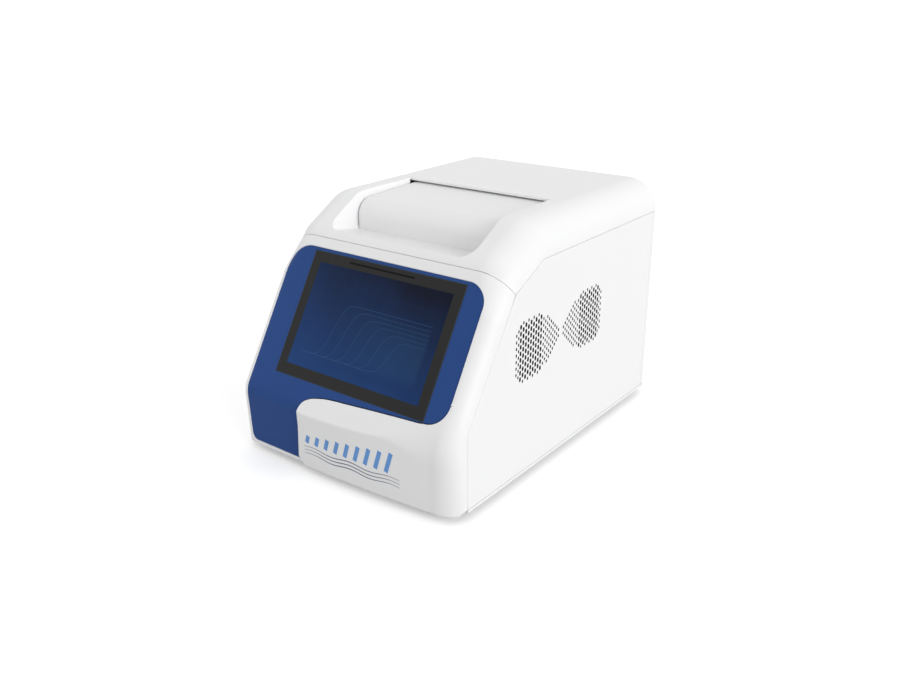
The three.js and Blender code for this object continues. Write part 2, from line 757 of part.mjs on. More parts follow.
function frontFascia() {
  const sheet = caseSolid(fasciaInset).subtract(caseSolid(fasciaInset + fasciaWall));
  return sheet.intersect(seenFromFront(maskOutline(-seamGap), 6))
    .subtract(seenFromFront(blockOutline(seamGap), 6)).subtract(glassPocket(frameBack));
}

piece('front_frame', white, frontFrame());
piece('front_fascia', blue, frontFascia());

// Touch screen stack, from the cover glass to the bracket behind it
const glassBack = backingFront + fitGap;
piece('screen_glass', glass, boxGeometry(glassLeft, glassRight, glassFoot, glassTop,
  glassBack, glassBack + glassThickness), screenGroup);
piece('display_panel', blackPlastic, boxGeometry(displayLeft, displayRight, displayFoot, displayTop,
  glassBack - fitGap - displayThickness, glassBack - fitGap), screenGroup);
const bracketFront = frameBack - fitGap;
const bracketBack = glassBack - displayThickness - 2 * fitGap - bracketSheet;
const bracketTray = box(displayLeft - bracketMargin, displayRight + bracketMargin,
  displayFoot - bracketMargin,
  displayTop + bracketMargin, bracketBack, bracketFront);
const bracketHollow = box(displayLeft - displayMargin, displayRight + displayMargin,
  displayFoot - displayMargin,
  displayTop + displayMargin, bracketBack + bracketSheet, overrun);
piece('display_bracket', sheetMetal, bracketTray.subtract(bracketHollow), screenGroup);

// Top cover with the finger recess in front of the lid
function recessSolid(grow) {
  const floor = scoopShares.map(([u, v]) => [
    recessFront - grow + scoopDepth * u,
    THREE.MathUtils.lerp(lipHeight, deckHeight, v) - grow,
  ]);
  const cut = prismX([
    [recessFront - grow, farZ], [recessFront - grow, lipHeight - grow], ...floor,
    [recessRear, deckHeight - grow], [recessRear, farZ],
  ], -farX, farX);
  const plan = new THREE.Shape();
  const [half, front, radius] = [recessHalfWidth + grow, recessFront - grow, recessCornerRadius + grow];
  plan.moveTo(-half, caseDepth);
  plan.lineTo(-half, front + radius);
  plan.absarc(-half + radius, front + radius, radius, Math.PI, Math.PI * 1.5, false);
  plan.absarc(half - radius, front + radius, radius, Math.PI * 1.5, Math.PI * 2, false);
  plan.lineTo(half, caseDepth);
  return cut.intersect(prismZ(plan, 0, farZ, 5));
}

function topCover() {
  const tub = recessSolid(wall);
  const recess = recessSolid(0);
  const hollow = caseSolid(wall).intersect(box(-farX, farX, 0, caseDepth - wall, 0, farZ)).subtract(tub);
  const bay = box(-bayHalfWidth, bayHalfWidth, blockCentreDepth - bayHalfDepth,
    blockCentreDepth + bayHalfDepth,
    0, deckHeight + overrun / 2);
  const skin = shell.intersect(coverRegion).subtract(hollow);
  const tubInside = tub.intersect(caseSolid(wall / 2)).intersect(tubRegion);
  return skin.add(tubInside).subtract(recess).subtract(bay);
}

piece('top_cover', white, topCover());

// Side panels with their vents
function ventColumns() {
  const columns = [];
  let offset = ventTip;
  const run = (counts, step, width) => {
    for (const half of counts) {
      columns.push({ offset, half, width });
      offset += step;
    }
  };
  run(ventInnerColumns, ventColumnStep, ventSlotWidth);
  offset += ventWideStep - ventColumnStep;
  run(ventWideColumns, ventWideStep, ventWideSlotWidth);
  run(ventOuterColumns, ventColumnStep, ventSlotWidth);
  return columns;
}

function ventSlots(depth, x0, x1) {
  const slots = [];
  for (const { offset, half, width } of ventColumns()) {
    const reach = half * ventRowStep + width;
    const count = Math.max(1, Math.round((2 * reach + ventBridge) / (ventRowsPerSlot * ventRowStep)));
    const height = (2 * reach - (count - 1) * ventBridge) / count;
    for (let i = 0; i < count; i += 1) {
      const z = ventCentreHeight - reach + i * (height + ventBridge);
      for (const side of [-1, 1]) {
        const y = depth + side * offset;
        slots.push(box(x0, x1, y - width / 2, y + width / 2, z, z + height));
      }
    }
  }
  return wasm.Manifold.union(slots);
}

function sidePanel(side) {
  const outer = side * caseWidth / 2;
  const inner = side * (caseWidth / 2 - wall);
  const [x0, x1] = [Math.min(outer, inner), Math.max(outer, inner)];
  const foot = baseSheet + seamGap;
  const rear = caseDepth - rearRim - seamGap;
  const sheet = prismX([
    [sideSeamDepth + seamGap, foot], [sideSeamDepth + seamGap, sideSeamKnee],
    [seamCornerDepth + seamGap, seamCornerHeight - seamGap], [coverCornerDepth, sideSeamHeight - seamGap],
    [rear, sideSeamHeight - seamGap], [rear, foot],
  ], x0, x1);
  return sheet.subtract(ventSlots(ventCentreDepth, x0 - wall, x1 + wall));
}

piece('side_panel_left', white, sidePanel(-1));
piece('side_panel_right', white, sidePanel(1));

for (const [suffix, side] of [['left', -1], ['right', 1]]) {
  const x = side * (caseWidth / 2 - wall - fitGap - filterThickness / 2);
  piece(`vent_filter_${suffix}`, insulation, boxGeometry(x - filterThickness / 2, x + filterThickness / 2,
    ventCentreDepth - filterHalfDepth, ventCentreDepth + filterHalfDepth,
    ventCentreHeight - filterHalfHeight, ventCentreHeight + filterHalfHeight));
}

// Base tray and feet
const trayRear = box(-caseWidth / 2, caseWidth / 2, sideSeamDepth + seamGap, caseDepth, 0, baseSheet);
const trayFront = caseSolid(frameWall + fitGap)
  .intersect(box(-farX, farX, 0, sideSeamDepth + 2 * seamGap, 0, baseSheet));
piece('base_tray', sheetMetal, trayRear.add(trayFront));

const footPlaces = [
  ['foot_front_left', -1, footInsetDepth], ['foot_front_right', 1, footInsetDepth],
  ['foot_rear_left', -1, caseDepth - footInsetDepth], ['foot_rear_right', 1, caseDepth - footInsetDepth],
];
for (const [name, side, depth] of footPlaces) {
  const outline = [[0, -footHeight], [footRadius - footTaper, -footHeight], 
    [footRadius, -footHeight + footTaper],
    [footRadius, -fitGap], [0, -fitGap]];
  const foot = new THREE.LatheGeometry(outline.map(([r, z]) => new THREE.Vector2(r, z)), 20);
  const mesh = piece(name, rubber, toSolid(foot.rotateX(Math.PI / 2)));
  mesh.position.set(side * (caseWidth / 2 - footInsetX), depth, 0);
}

// Rear panel: a pan with a rim all round
const rearFoot = baseSheet + seamGap;
const rearTop = sideSeamHeight - seamGap;
const rearOuter = caseDepth - rearRim;
const rearFace = rearOuter + rearSheet;
const rearScrewX = chassisHalfWidth - rearFlangeWidth / 2;
const rearScrewHeights = rearScrewPlaces.map((_, i) =>
  THREE.MathUtils.lerp(rearFoot, chassisTop, (i + 1 / 2) / rearScrewPlaces.length));
function rearScrewHoles(x) {
  return rearScrewHeights.map((z) =>
    barY(rearScrewRadius + fitGap, x, rearOuter - overrun, caseDepth, z, 12));
}
function rearPanel() {
  const half = caseWidth / 2;
  const pan = box(-half, half, rearOuter, caseDepth, rearFoot, rearTop);
  const inside = box(-half + rearRimWall, half - rearRimWall, rearFace, caseDepth + overrun,
    rearFoot + rearRimWall, rearTop - rearRimWall);
  const holes = [...powerSockets, ...dataSockets].map(([x, z, width, rise]) =>
    box(x - width / 2 - fitGap, x + width / 2 + fitGap, rearOuter - overrun, caseDepth,
      z - rise / 2 - fitGap, z + rise / 2 + fitGap));
  const grille = [];
  for (let i = 0; i < grilleSlots; i += 1) {
    const z = grilleFoot + i * grillePitch;
    grille.push(box(-grilleHalfWidth, grilleHalfWidth, rearOuter - overrun, caseDepth, z,
      z + grilleSlotHeight));
  }
  const screwHoles = [...rearScrewHoles(-rearScrewX), ...rearScrewHoles(rearScrewX)];
  return pan.subtract(inside).subtract(wasm.Manifold.union([...holes, ...grille, ...screwHoles]));
}
piece('rear_panel', white, rearPanel());

// Lid hood, its frame, carriages and rails
const hoodTop = hoodShoulder + hoodRadius;
function hoodOutline(inset) {
  const shape = new THREE.Shape();
  shape.moveTo(hoodFront + inset, hoodFoot - (inset > 0 ? overrun : 0));
  shape.lineTo(hoodFront + inset, hoodShoulder);
  shape.absarc(hoodFront + hoodRadius, hoodShoulder, hoodRadius - inset, Math.PI, Math.PI / 2, true);
  shape.lineTo(hoodRear + (inset > 0 ? overrun : 0), hoodTop + hoodRise - inset);
  shape.lineTo(hoodRear + (inset > 0 ? overrun : 0), hoodFoot - (inset > 0 ? overrun : 0));
  return shape;
}
const hoodSolid = prismX(hoodOutline(0), -hoodHalfWidth, hoodHalfWidth, 8)
  .subtract(prismX(hoodOutline(hoodWall), -hoodHalfWidth + hoodWall, hoodHalfWidth - hoodWall, 8));
piece('lid_hood', white, hoodSolid);

const lidPlateTop = lidPlateHeight + lidPlateSheet;
const beltBracketFront = beltDepth + beltWidth / 2 + fitGap;
const beltBracketRear = lidPlateRear;
function lidFrame() {
  const parts = [
    box(-lidPlateHalfWidth, lidPlateHalfWidth, lidPlateFront, lidPlateRear, lidPlateHeight, lidPlateTop),
  ];
  for (const side of [-1, 1]) {
    const span = (a, b) => [Math.min(side * a, side * b), Math.max(side * a, side * b)];
    const arm = span(armInner, lidPlateHalfWidth);
    parts.push(box(...arm, armFront, armRear, carriageTop + fitGap, lidPlateTop));
    const post = span(scanRailHalfLength + fitGap, lidPlateHalfWidth);
    parts.push(box(...post, scanRailDepth - scanRailSize, armFront + fitGap,
      scanRailHeight - scanRailSize, lidPlateTop));
    const bracket = span(beltPulleyX - scanRailSize, beltPulleyX + scanRailSize);
    parts.push(box(...bracket, beltBracketFront, beltBracketRear, beltHeight - scanRailSize,
      lidPlateTop));
  }
  parts.push(box(-armInner - fitGap, screwX + nutHalfWidth, nutFront, nutRear, carriageTop + fitGap,
    armFoot));
  parts.push(barZ(guidePostRadius, guidePostX, blockCentreDepth, plateFoot - fitGap, lidPlateTop, 10));
  parts.push(barY(axleRadius, -beltPulleyX, beltDepth - beltWidth, beltBracketRear, beltHeight, 10));
  const motorHole = barY(axleRadius + fitGap, beltPulleyX, beltDepth, beltBracketRear + overrun,
    beltHeight, 10);
  return wasm.Manifold.union(parts).subtract(motorHole);
}
piece('lid_frame', sheetMetal, lidFrame());

for (const [suffix, side] of [['left', -1], ['right', 1]]) {
  const x = side * railCentre;
  const railTop = chassisTop + fitGap + railHeight;
  piece(`lid_rail_${suffix}`, steel, boxGeometry(x - railWidth / 2, x + railWidth / 2, railFront,
    railRear,
    chassisTop + fitGap, railTop));
  const block = box(x - carriageWidth / 2, x + carriageWidth / 2, carriageFront, carriageRear,
    chassisTop + 2 * fitGap + railHeight / 4, carriageTop);
  const groove = box(x - railWidth / 2 - fitGap, x + railWidth / 2 + fitGap, carriageFront - overrun,
    carriageRear + overrun, chassisTop, railTop + fitGap);
  piece(`lid_carriage_${suffix}`, steel, block.subtract(groove));
}

// Lid drive: motor, screw, nut and end bearing
piece('lid_motor', blackPlastic, barY(motorRadius, screwX, screwFront - fitGap - motorLength,
  screwFront - fitGap,
  screwHeight, 16));
piece('lid_screw', steel, barY(screwRadius, screwX, screwFront, screwRear, screwHeight, 12));
piece('lid_nut', aluminium, box(screwX - nutHalfWidth, screwX + nutHalfWidth, nutFront, nutRear,
  screwHeight - nutHalfHeight, carriageTop).subtract(
  barY(screwRadius + fitGap, screwX, nutFront - overrun, nutRear + overrun, screwHeight, 12)));
piece('screw_bearing', aluminium, box(screwX - bearingHalfWidth, screwX + bearingHalfWidth, bearingFront,
  screwRear,
  chassisTop + fitGap, screwHeight + bearingHalfWidth).subtract(
  barY(screwRadius + fitGap, screwX, bearingFront - overrun, screwRear + overrun, screwHeight, 12)));

// Heated plate with slots for the optics, its guide tab and its lift
function heatedPlate() {
  const tab = (x0, x1) => box(x0, x1, blockCentreDepth - plateTabHalfDepth,
    blockCentreDepth + plateTabHalfDepth,
    plateFoot, plateTop);
  const slots = [];
  for (let i = 0; i < wellColumns; i += 1) {
    const x = (i - (wellColumns - 1) / 2) * wellPitch;
    const reach = (wellRows / 2) * wellPitch - wellRadius / 2;
    slots.push(box(x - wellRadius / 2, x + wellRadius / 2, blockCentreDepth - reach,
      blockCentreDepth + reach,
      plateFoot - overrun, plateTop + overrun));
  }
  return box(-plateHalfWidth, plateHalfWidth, blockCentreDepth - plateHalfDepth,
    blockCentreDepth + plateHalfDepth,
    plateFoot, plateTop)
    .add(tab(plateHalfWidth, plateHalfWidth + plateTabReach))
    .add(tab(-plateHalfWidth - guideTabReach, -plateHalfWidth))
    .subtract(wasm.Manifold.union(slots))
    .subtract(barZ(liftScrewRadius + fitGap, liftX, blockCentreDepth, plateFoot - overrun,
      plateTop + overrun, 12))
    .subtract(barZ(guidePostRadius + fitGap, guidePostX, blockCentreDepth, plateFoot - overrun,
      plateTop + overrun, 12));
}
piece('heated_plate', aluminium, heatedPlate());
const liftMotorTop = lidPlateHeight - fitGap;
const liftMotorFoot = liftMotorTop - liftMotorHeight;
piece('lift_motor', blackPlastic, barZ(liftMotorRadius, liftX, blockCentreDepth, liftMotorFoot,
  liftMotorTop, 16));
piece('lift_screw', steel, barZ(liftScrewRadius, liftX, blockCentreDepth,
  plateFoot - plateTravel + fitGap,
  liftMotorFoot - fitGap, 12));

// Scanning head, its rail, belt, pulley and motor
piece('scan_rail', steel, boxGeometry(-scanRailHalfLength, scanRailHalfLength,
  scanRailDepth - scanRailSize / 2,
  scanRailDepth + scanRailSize / 2, scanRailHeight - scanRailSize / 2,
  scanRailHeight + scanRailSize / 2));
const bearingReach = scanRailSize / 2 + fitGap;
const headTop = headFoot + headHeight;
piece('scan_head', blackPlastic, box(scanHome - headHalfWidth, scanHome + headHalfWidth, headFront,
  scanRailDepth + scanRailSize, headFoot, headTop).subtract(
  box(scanHome - headHalfWidth - overrun, scanHome + headHalfWidth + overrun,
  scanRailDepth - bearingReach,
    scanRailDepth + bearingReach, scanRailHeight - bearingReach, scanRailHeight + bearingReach)));

function beltLoop(radius) {
  const shape = new THREE.Shape();
  shape.absarc(beltPulleyX, beltHeight, radius, -Math.PI / 2, Math.PI / 2, false);
  shape.absarc(-beltPulleyX, beltHeight, radius, Math.PI / 2, Math.PI * 1.5, false);
  return shape;
}
const beltInner = beltPulleyRadius + fitGap;
const beltBand = prismY(beltLoop(beltInner + beltThickness), beltDepth - beltWidth / 2,
  beltDepth + beltWidth / 2, 8)
  .subtract(prismY(beltLoop(beltInner), beltDepth - beltWidth, beltDepth + beltWidth, 8));
piece('scan_belt', rubber, beltBand);
const pulleyDepths = [beltDepth - beltWidth / 2, beltDepth + beltWidth / 2];
const shaftEnd = beltBracketRear + fitGap;
piece('scan_pulley', aluminium, barY(beltPulleyRadius, beltPulleyX, ...pulleyDepths, beltHeight, 14)
  .add(barY(axleRadius, beltPulleyX, beltDepth, shaftEnd, beltHeight, 10)));
piece('scan_idler', aluminium, barY(beltPulleyRadius, -beltPulleyX, ...pulleyDepths, beltHeight, 14)
  .subtract(barY(axleRadius + fitGap, -beltPulleyX, beltDepth - beltWidth, beltDepth + beltWidth,
    beltHeight, 10)));
piece('scan_motor', blackPlastic, barY(scanMotorRadius, beltPulleyX, shaftEnd + fitGap,
  shaftEnd + fitGap + scanMotorLength, beltHeight, 16));

// Thermal block with its wells, collar, Peltier modules and heat sink
function thermalBlock() {
  const wells = [];
  for (let i = 0; i < wellColumns; i += 1) {
    for (let j = 0; j < wellRows; j += 1) {
      const x = (i - (wellColumns - 1) / 2) * wellPitch;
      const y = blockCentreDepth + (j - (wellRows - 1) / 2) * wellPitch;
      wells.push(barZ(wellRadius, x, y, blockTop - wellDepth, blockTop + overrun, 6));
    }
  }
  return box(-blockHalfWidth, blockHalfWidth, blockCentreDepth - blockHalfDepth,
    blockCentreDepth + blockHalfDepth,
    blockTop - blockThickness, blockTop).subtract(wasm.Manifold.union(wells));
}
piece('thermal_block', aluminium, thermalBlock());
const collarInnerX = blockHalfWidth + fitGap;
const collarInnerY = blockHalfDepth + fitGap;
piece('block_collar', insulation, box(-collarInnerX - collarMargin, collarInnerX + collarMargin,
  blockCentreDepth - collarInnerY - collarMargin, blockCentreDepth + collarInnerY + collarMargin,
  collarFoot, collarTop).subtract(box(-collarInnerX, collarInnerX, blockCentreDepth - collarInnerY,
  blockCentreDepth + collarInnerY, collarFoot - overrun, collarTop + overrun)));
piece('peltier_module', ceramic, boxGeometry(-peltierHalfWidth, peltierHalfWidth,
  blockCentreDepth - peltierHalfDepth, blockCentreDepth + peltierHalfDepth,
  sinkTop + fitGap, sinkTop + fitGap + peltierThickness));

function heatSink() {
  const [front, rear] = [blockCentreDepth - sinkHalfDepth, blockCentreDepth + sinkHalfDepth];
  const outline = [[front, sinkTop], [front, sinkFoot]];
  const fins = Math.floor((rear - front) / finPitch);
  const pitch = (rear - front - finThickness) / fins;
  for (let i = 0; i < fins; i += 1) {
    const y = front + finThickness + i * pitch;
    outline.push([y, sinkFoot], [y, sinkTop - sinkBase], [y + pitch - finThickness, sinkTop - sinkBase],
      [y + pitch - finThickness, sinkFoot]);
  }
  outline.push([rear, sinkFoot], [rear, sinkTop]);
  return prismX(outline, -sinkHalfWidth, sinkHalfWidth);
}
piece('heat_sink', aluminium, heatSink());

// Chassis: a deck plate on two side walls, which end in a flange behind the rear panel
const chassisInner = chassisHalfWidth - chassisSheet - fitGap;
const chassisDeck = box(-chassisInner, chassisInner, chassisFront, chassisRear,
  chassisTop - chassisSheet, chassisTop)
  .subtract(box(-windowHalfWidth, windowHalfWidth, blockCentreDepth - windowHalfDepth,
    blockCentreDepth + windowHalfDepth, 0, farZ));
piece('chassis_deck', sheetMetal, chassisDeck);
const flangeRear = rearOuter - fitGap;
const flangeFront = flangeRear - chassisSheet;
for (const [suffix, side] of [['left', -1], ['right', 1]]) {
  const inFromSide = (reach) =>
    [side * chassisHalfWidth, side * (chassisHalfWidth - reach)].sort((a, b) => a - b);
  const [x0, x1] = inFromSide(chassisSheet);
  const plate = box(x0, x1, chassisFront, flangeRear, baseSheet + fitGap, chassisTop);
  const flange = box(...inFromSide(rearFlangeWidth), flangeFront, flangeRear, baseSheet + fitGap,
    chassisTop);
  const holes = fanDepths.map((depth) => barX(fanBoreRadius, x0 - overrun, x1 + overrun, depth,
    fanHeight, 20));
  holes.push(...rearScrewHoles(side * rearScrewX));
  piece(`chassis_wall_${suffix}`, sheetMetal, plate.add(flange).subtract(wasm.Manifold.union(holes)));
}

// Screws through the rear panel into the flanges
function rearScrew(x, z) {
  const seat = rearFace + fitGap;
  const top = seat + rearScrewHeadHeight;
  const head = barY(rearScrewHeadRadius, x, seat, top, z, 16);
  const shank = barY(rearScrewRadius, x, flangeFront - rearScrewTip, top - hexSocketDepth, z, 12);
  return head.add(shank).subtract(barY(hexSocketRadius, x, top - hexSocketDepth, caseDepth, z, 6));
}
for (const [suffix, side] of [['left', -1], ['right', 1]]) {
  rearScrewPlaces.forEach((place, i) => {
    piece(`rear_screw_${suffix}_${place}`, steel, rearScrew(side * rearScrewX, rearScrewHeights[i]));
  });
}

// Fans: a square frame with struts and a rotor on a spindle
function fanFrame() {
  const half = fanSize / 2;
  const ring = box(0, fanDepth, -half, half, -half, half)
    .subtract(barX(fanBoreRadius, -overrun, fanDepth + overrun, 0, 0, 24));
  const struts = box(0, fanStrutThickness, -half, half, -fanStrutWidth / 2, fanStrutWidth / 2)
    .add(box(0, fanStrutThickness, -fanStrutWidth / 2, fanStrutWidth / 2, -half, half))
    .add(barX(fanHubRadius - 2 * fanStrutThickness, 0, fanStrutThickness, 0, 0, 16));
  const spindle = barX(axleRadius, 0, fanStrutThickness + fanRotorLength / 2, 0, 0, 10);
  return ring.add(struts).add(spindle);
}

function fanRotor() {
  const start = fanStrutThickness + fitGap;
  const parts = [barX(fanHubRadius, start, start + fanRotorLength, 0, 0, 16)];
  for (let i = 0; i < fanBlades; i += 1) {
    const root = fanHubRadius - 2 * fanBladeThickness;
    const blade = boxGeometry(-fanBladeWidth / 2, fanBladeWidth / 2, -fanBladeThickness / 2,
      fanBladeThickness / 2,
      root, fanBladeReach).rotateZ(fanBladePitch).rotateX((i / fanBlades) * Math.PI * 2)
      .translate(start + fanRotorLength / 2, 0, 0);
    parts.push(toSolid(blade));
  }
  return wasm.Manifold.union(parts)
    .subtract(barX(axleRadius + fitGap, -overrun, start + fanRotorLength / 2 + fitGap, 0, 0, 10));
}

const fanFrameShape = toGeometry(fanFrame());
const fanRotorShape = toGeometry(fanRotor());
for (const [suffix, side] of [['left', -1], ['right', 1]]) {
  for (const [place, depth] of [['front', fanDepths[0]], ['rear', fanDepths[1]]]) {
    const fan = new THREE.Group();
    fan.position.set(side * (chassisHalfWidth - chassisSheet - fitGap - fanDepth), depth, fanHeight);
    fan.rotation.z = side < 0 ? Math.PI : 0;
    caseGroup.add(fan);
    piece(`fan_frame_${suffix}_${place}`, blackPlastic, fanFrameShape, fan);
    piece(`fan_rotor_${suffix}_${place}`, blackPlastic, fanRotorShape, fan);
  }
}

// Electronics on the base tray
piece('power_supply', sheetMetal, boxGeometry(supplyRight - supplyWidth, supplyRight, supplyFront,
  supplyRear, baseSheet + fitGap,
  baseSheet + supplyHeight));
function mainBoard() {
  const sheet = box(-boardHalfWidth, boardHalfWidth, boardFront, boardRear, boardHeight,
    boardHeight + boardSheet);
  const posts = [];
  for (const x of [-boardHalfWidth + standoffRadius * 2, boardHalfWidth - standoffRadius * 2]) {
    for (const y of [boardFront + standoffRadius * 2, boardRear - standoffRadius * 2]) {
      posts.push(barZ(standoffRadius, x, y, baseSheet + fitGap, boardHeight + boardSheet / 2, 10));
    }
  }
  return sheet.add(wasm.Manifold.union(posts));
}
piece('main_board', circuitBoard, mainBoard());

// Rear sockets: shells with cavities open to the rear, joined by one flange on the panel
function socketModule(sockets, reach, wallThickness) {
  const flanges = [];
  const bodies = [];
  const cavities = [];
  for (const [x, z, width, rise] of sockets) {
    const [left, right] = [x - width / 2, x + width / 2];
    const [foot, top] = [z - rise / 2, z + rise / 2];
    flanges.push(box(left - flangeMargin, right + flangeMargin, rearFace + fitGap,
      rearFace + fitGap + flangeSheet,
      foot - flangeMargin, top + flangeMargin));
    bodies.push(box(left, right, rearFace - reach, rearFace + flangeSheet, foot, top));
    cavities.push(box(left + wallThickness, right - wallThickness, rearFace - reach + wallThickness,
      caseDepth + overrun, foot + wallThickness, top - wallThickness));
  }
  return wasm.Manifold.union([...flanges, ...bodies]).subtract(wasm.Manifold.union(cavities));
}

const inletPins = [-pinSpacing, 0, pinSpacing].map((x) => {
  const back = rearFace - inletReach + socketWall / 2;
  return box(inletX + x - pinSheet / 2, inletX + x + pinSheet / 2, back, back + pinReach,
    inletHeight - pinWidth / 2, inletHeight + pinWidth / 2);
});
piece('power_inlet', blackPlastic, socketModule(powerSockets, inletReach, socketWall)
  .add(wasm.Manifold.union(inletPins)));
piece('data_ports', blackPlastic, socketModule(dataSockets, portReach, socketWall));

// Rocker of the mains switch, tilted on, turning about a crosswise axle
const rockerWidth = switchWidth - 2 * socketWall - 2 * fitGap;
const rockerRise = switchRise - 2 * socketWall - 2 * rockerReach * Math.sin(rockerHalfAngle) - 2 * fitGap;
const rockerAxis = rearFace - rockerReach;
const rockerOutline = [
  [-rockerReach, -rockerRise / 4], [0, -rockerRise / 2], [rockerReach, -rockerRise / 2],
  [rockerReach / 2, 0], [rockerReach, rockerRise / 2], [0, rockerRise / 2], [-rockerReach,
  rockerRise / 4],
];
const rocker = piece('power_rocker', blackPlastic, prismX(rockerOutline, -rockerWidth / 2,
  rockerWidth / 2));
rocker.position.set(switchX, rockerAxis, inletHeight);
rocker.rotation.x = rockerHalfAngle;

// Fuse drawer that pulls out to the rear
const drawerWidth = fuseWidth - 2 * socketWall - 2 * fitGap;
const drawerRise = fuseRise - 2 * socketWall - 2 * fitGap;
piece('fuse_drawer', blackPlastic, box(inletX - drawerWidth / 2, inletX + drawerWidth / 2,
  rearFace - fuseReach,
  rearFace + flangeSheet, fuseHeight - drawerRise / 2, fuseHeight + drawerRise / 2));

export default machine;
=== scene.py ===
"""A bench-top real-time PCR instrument with a sliding lid and a sloping touch screen."""

import math

import bpy
import numpy as np
from bpy.props import FloatProperty, FloatVectorProperty, IntProperty, PointerProperty
from mathutils import Matrix, Vector
from mathutils.geometry import delaunay_2d_cdt
from mathutils.kdtree import KDTree


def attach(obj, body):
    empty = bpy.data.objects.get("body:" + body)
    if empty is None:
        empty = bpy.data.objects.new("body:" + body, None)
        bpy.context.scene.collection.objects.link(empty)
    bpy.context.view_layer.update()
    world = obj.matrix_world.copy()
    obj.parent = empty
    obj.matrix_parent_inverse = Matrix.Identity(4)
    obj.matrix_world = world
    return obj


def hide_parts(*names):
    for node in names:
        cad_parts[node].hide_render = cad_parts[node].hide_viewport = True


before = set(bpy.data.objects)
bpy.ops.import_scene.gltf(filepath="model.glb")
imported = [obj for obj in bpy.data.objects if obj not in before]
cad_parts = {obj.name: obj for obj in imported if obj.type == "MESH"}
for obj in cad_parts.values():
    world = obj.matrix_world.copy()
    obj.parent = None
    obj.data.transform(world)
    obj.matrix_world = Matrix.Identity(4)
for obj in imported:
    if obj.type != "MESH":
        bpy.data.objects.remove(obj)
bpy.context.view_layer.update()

bl_info = {
    "name": "Real-time PCR instrument",
    "version": (1, 0, 0),
    "blender": (4, 5, 0),
    "location": "3D View > Sidebar > Instrument",
    "description": "Makes the visible pieces of a bench-top PCR instrument and a plain studio round it",
    "category": "Object",
}

# Case, in millimetres: x across, d back from the foot of the front face, h above the base.
# LEAN, SLOPE and FACET are the angles of the lower front, the screen and the shoulder.
HALF_WIDTH = 175.5
CASE_DEPTH = 480.0
CASE_HEIGHT = 315.0
FOOT_HEIGHT = 10.0
LEAN = math.radians(2.8)
SLOPE = math.radians(58.8)
FRONT_SETBACK = 3.8
KNEE_HEIGHT = 82.2
KNEE_RADIUS = 35.0
SEAM_HEIGHT = 267.5
SCREEN_EDGE = 20.0
SEAM_EDGE = 42.0
TOP_EDGE = 43.6
LEFT_CORNER = 15.0
RIGHT_CORNER = 35.0
OVERRUN = 14.0
FACET = math.radians(30)
BEND_RADIUS = 44.0
SHOULDER_RADIUS = 44.0

SLOPE_RUN = 1 / math.tan(SLOPE)
LEAN_RUN = math.tan(LEAN)
KNEE_DEPTH = FRONT_SETBACK - KNEE_HEIGHT * LEAN_RUN
SEAM_DEPTH = KNEE_DEPTH + (SEAM_HEIGHT - KNEE_HEIGHT) * SLOPE_RUN
SLOPE_FOOT = SEAM_DEPTH - SEAM_HEIGHT * SLOPE_RUN
FOREMOST = SLOPE_FOOT - SLOPE_FOOT / (SLOPE_RUN + LEAN_RUN) * SLOPE_RUN
FRONT_Y = -(CASE_DEPTH - FOREMOST) / 2 - FOREMOST
FLAT_HALF = HALF_WIDTH - TOP_EDGE
SIDE_TURN = TOP_EDGE * math.pi / 2

FRONT_TURN = math.pi + LEAN
SLOPE_TURN = math.pi / 2 + SLOPE
KNEE_TURN = FRONT_TURN - SLOPE_TURN
KNEE_TANGENT = KNEE_RADIUS * math.tan(KNEE_TURN / 2)
BEND_TURN = SLOPE - FACET
BEND_RISE = BEND_RADIUS * (math.cos(FACET) - math.cos(SLOPE))
SHOULDER_RISE = SHOULDER_RADIUS * (1 - math.cos(FACET))
FACET_LENGTH = (CASE_HEIGHT - SEAM_HEIGHT - BEND_RISE - SHOULDER_RISE) / math.sin(FACET)

# Distances along the middle profile: foot, knee, slope, bend, facet, shoulder, top
KNEE_START = KNEE_HEIGHT / math.cos(LEAN) - KNEE_TANGENT
KNEE_END = KNEE_START + KNEE_RADIUS * KNEE_TURN
SEAM_REACH = KNEE_END + (SEAM_HEIGHT - KNEE_HEIGHT) / math.sin(SLOPE) - KNEE_TANGENT
FACET_START = SEAM_REACH + BEND_RADIUS * BEND_TURN
FACET_END = FACET_START + FACET_LENGTH
SHOULDER_END = FACET_END + SHOULDER_RADIUS * FACET
TOP_START = (SEAM_DEPTH + BEND_RADIUS * (math.sin(SLOPE) - math.sin(FACET))
             + FACET_LENGTH * math.cos(FACET) + SHOULDER_RADIUS * math.sin(FACET))
REAR_REACH = SHOULDER_END + CASE_DEPTH - TOP_START
UPPER_SCREEN = SEAM_REACH - TOP_EDGE / math.sin(SLOPE)

# Seams, seen from the side: the corners are depth and height
SIDE_SEAM = 34.9
SEAM_GAP = 0.4
SEAM_KNEE = 102.0
SEAM_CORNER = (127.8, 243.0)
COVER_CORNER = (185.5, 271.4)
JOIN_HEIGHT = 134.3
JOIN_REACH = KNEE_END + (JOIN_HEIGHT - KNEE_HEIGHT) / math.sin(SLOPE) - KNEE_TANGENT
FAR_BELOW, FAR_ABOVE = -50, 400

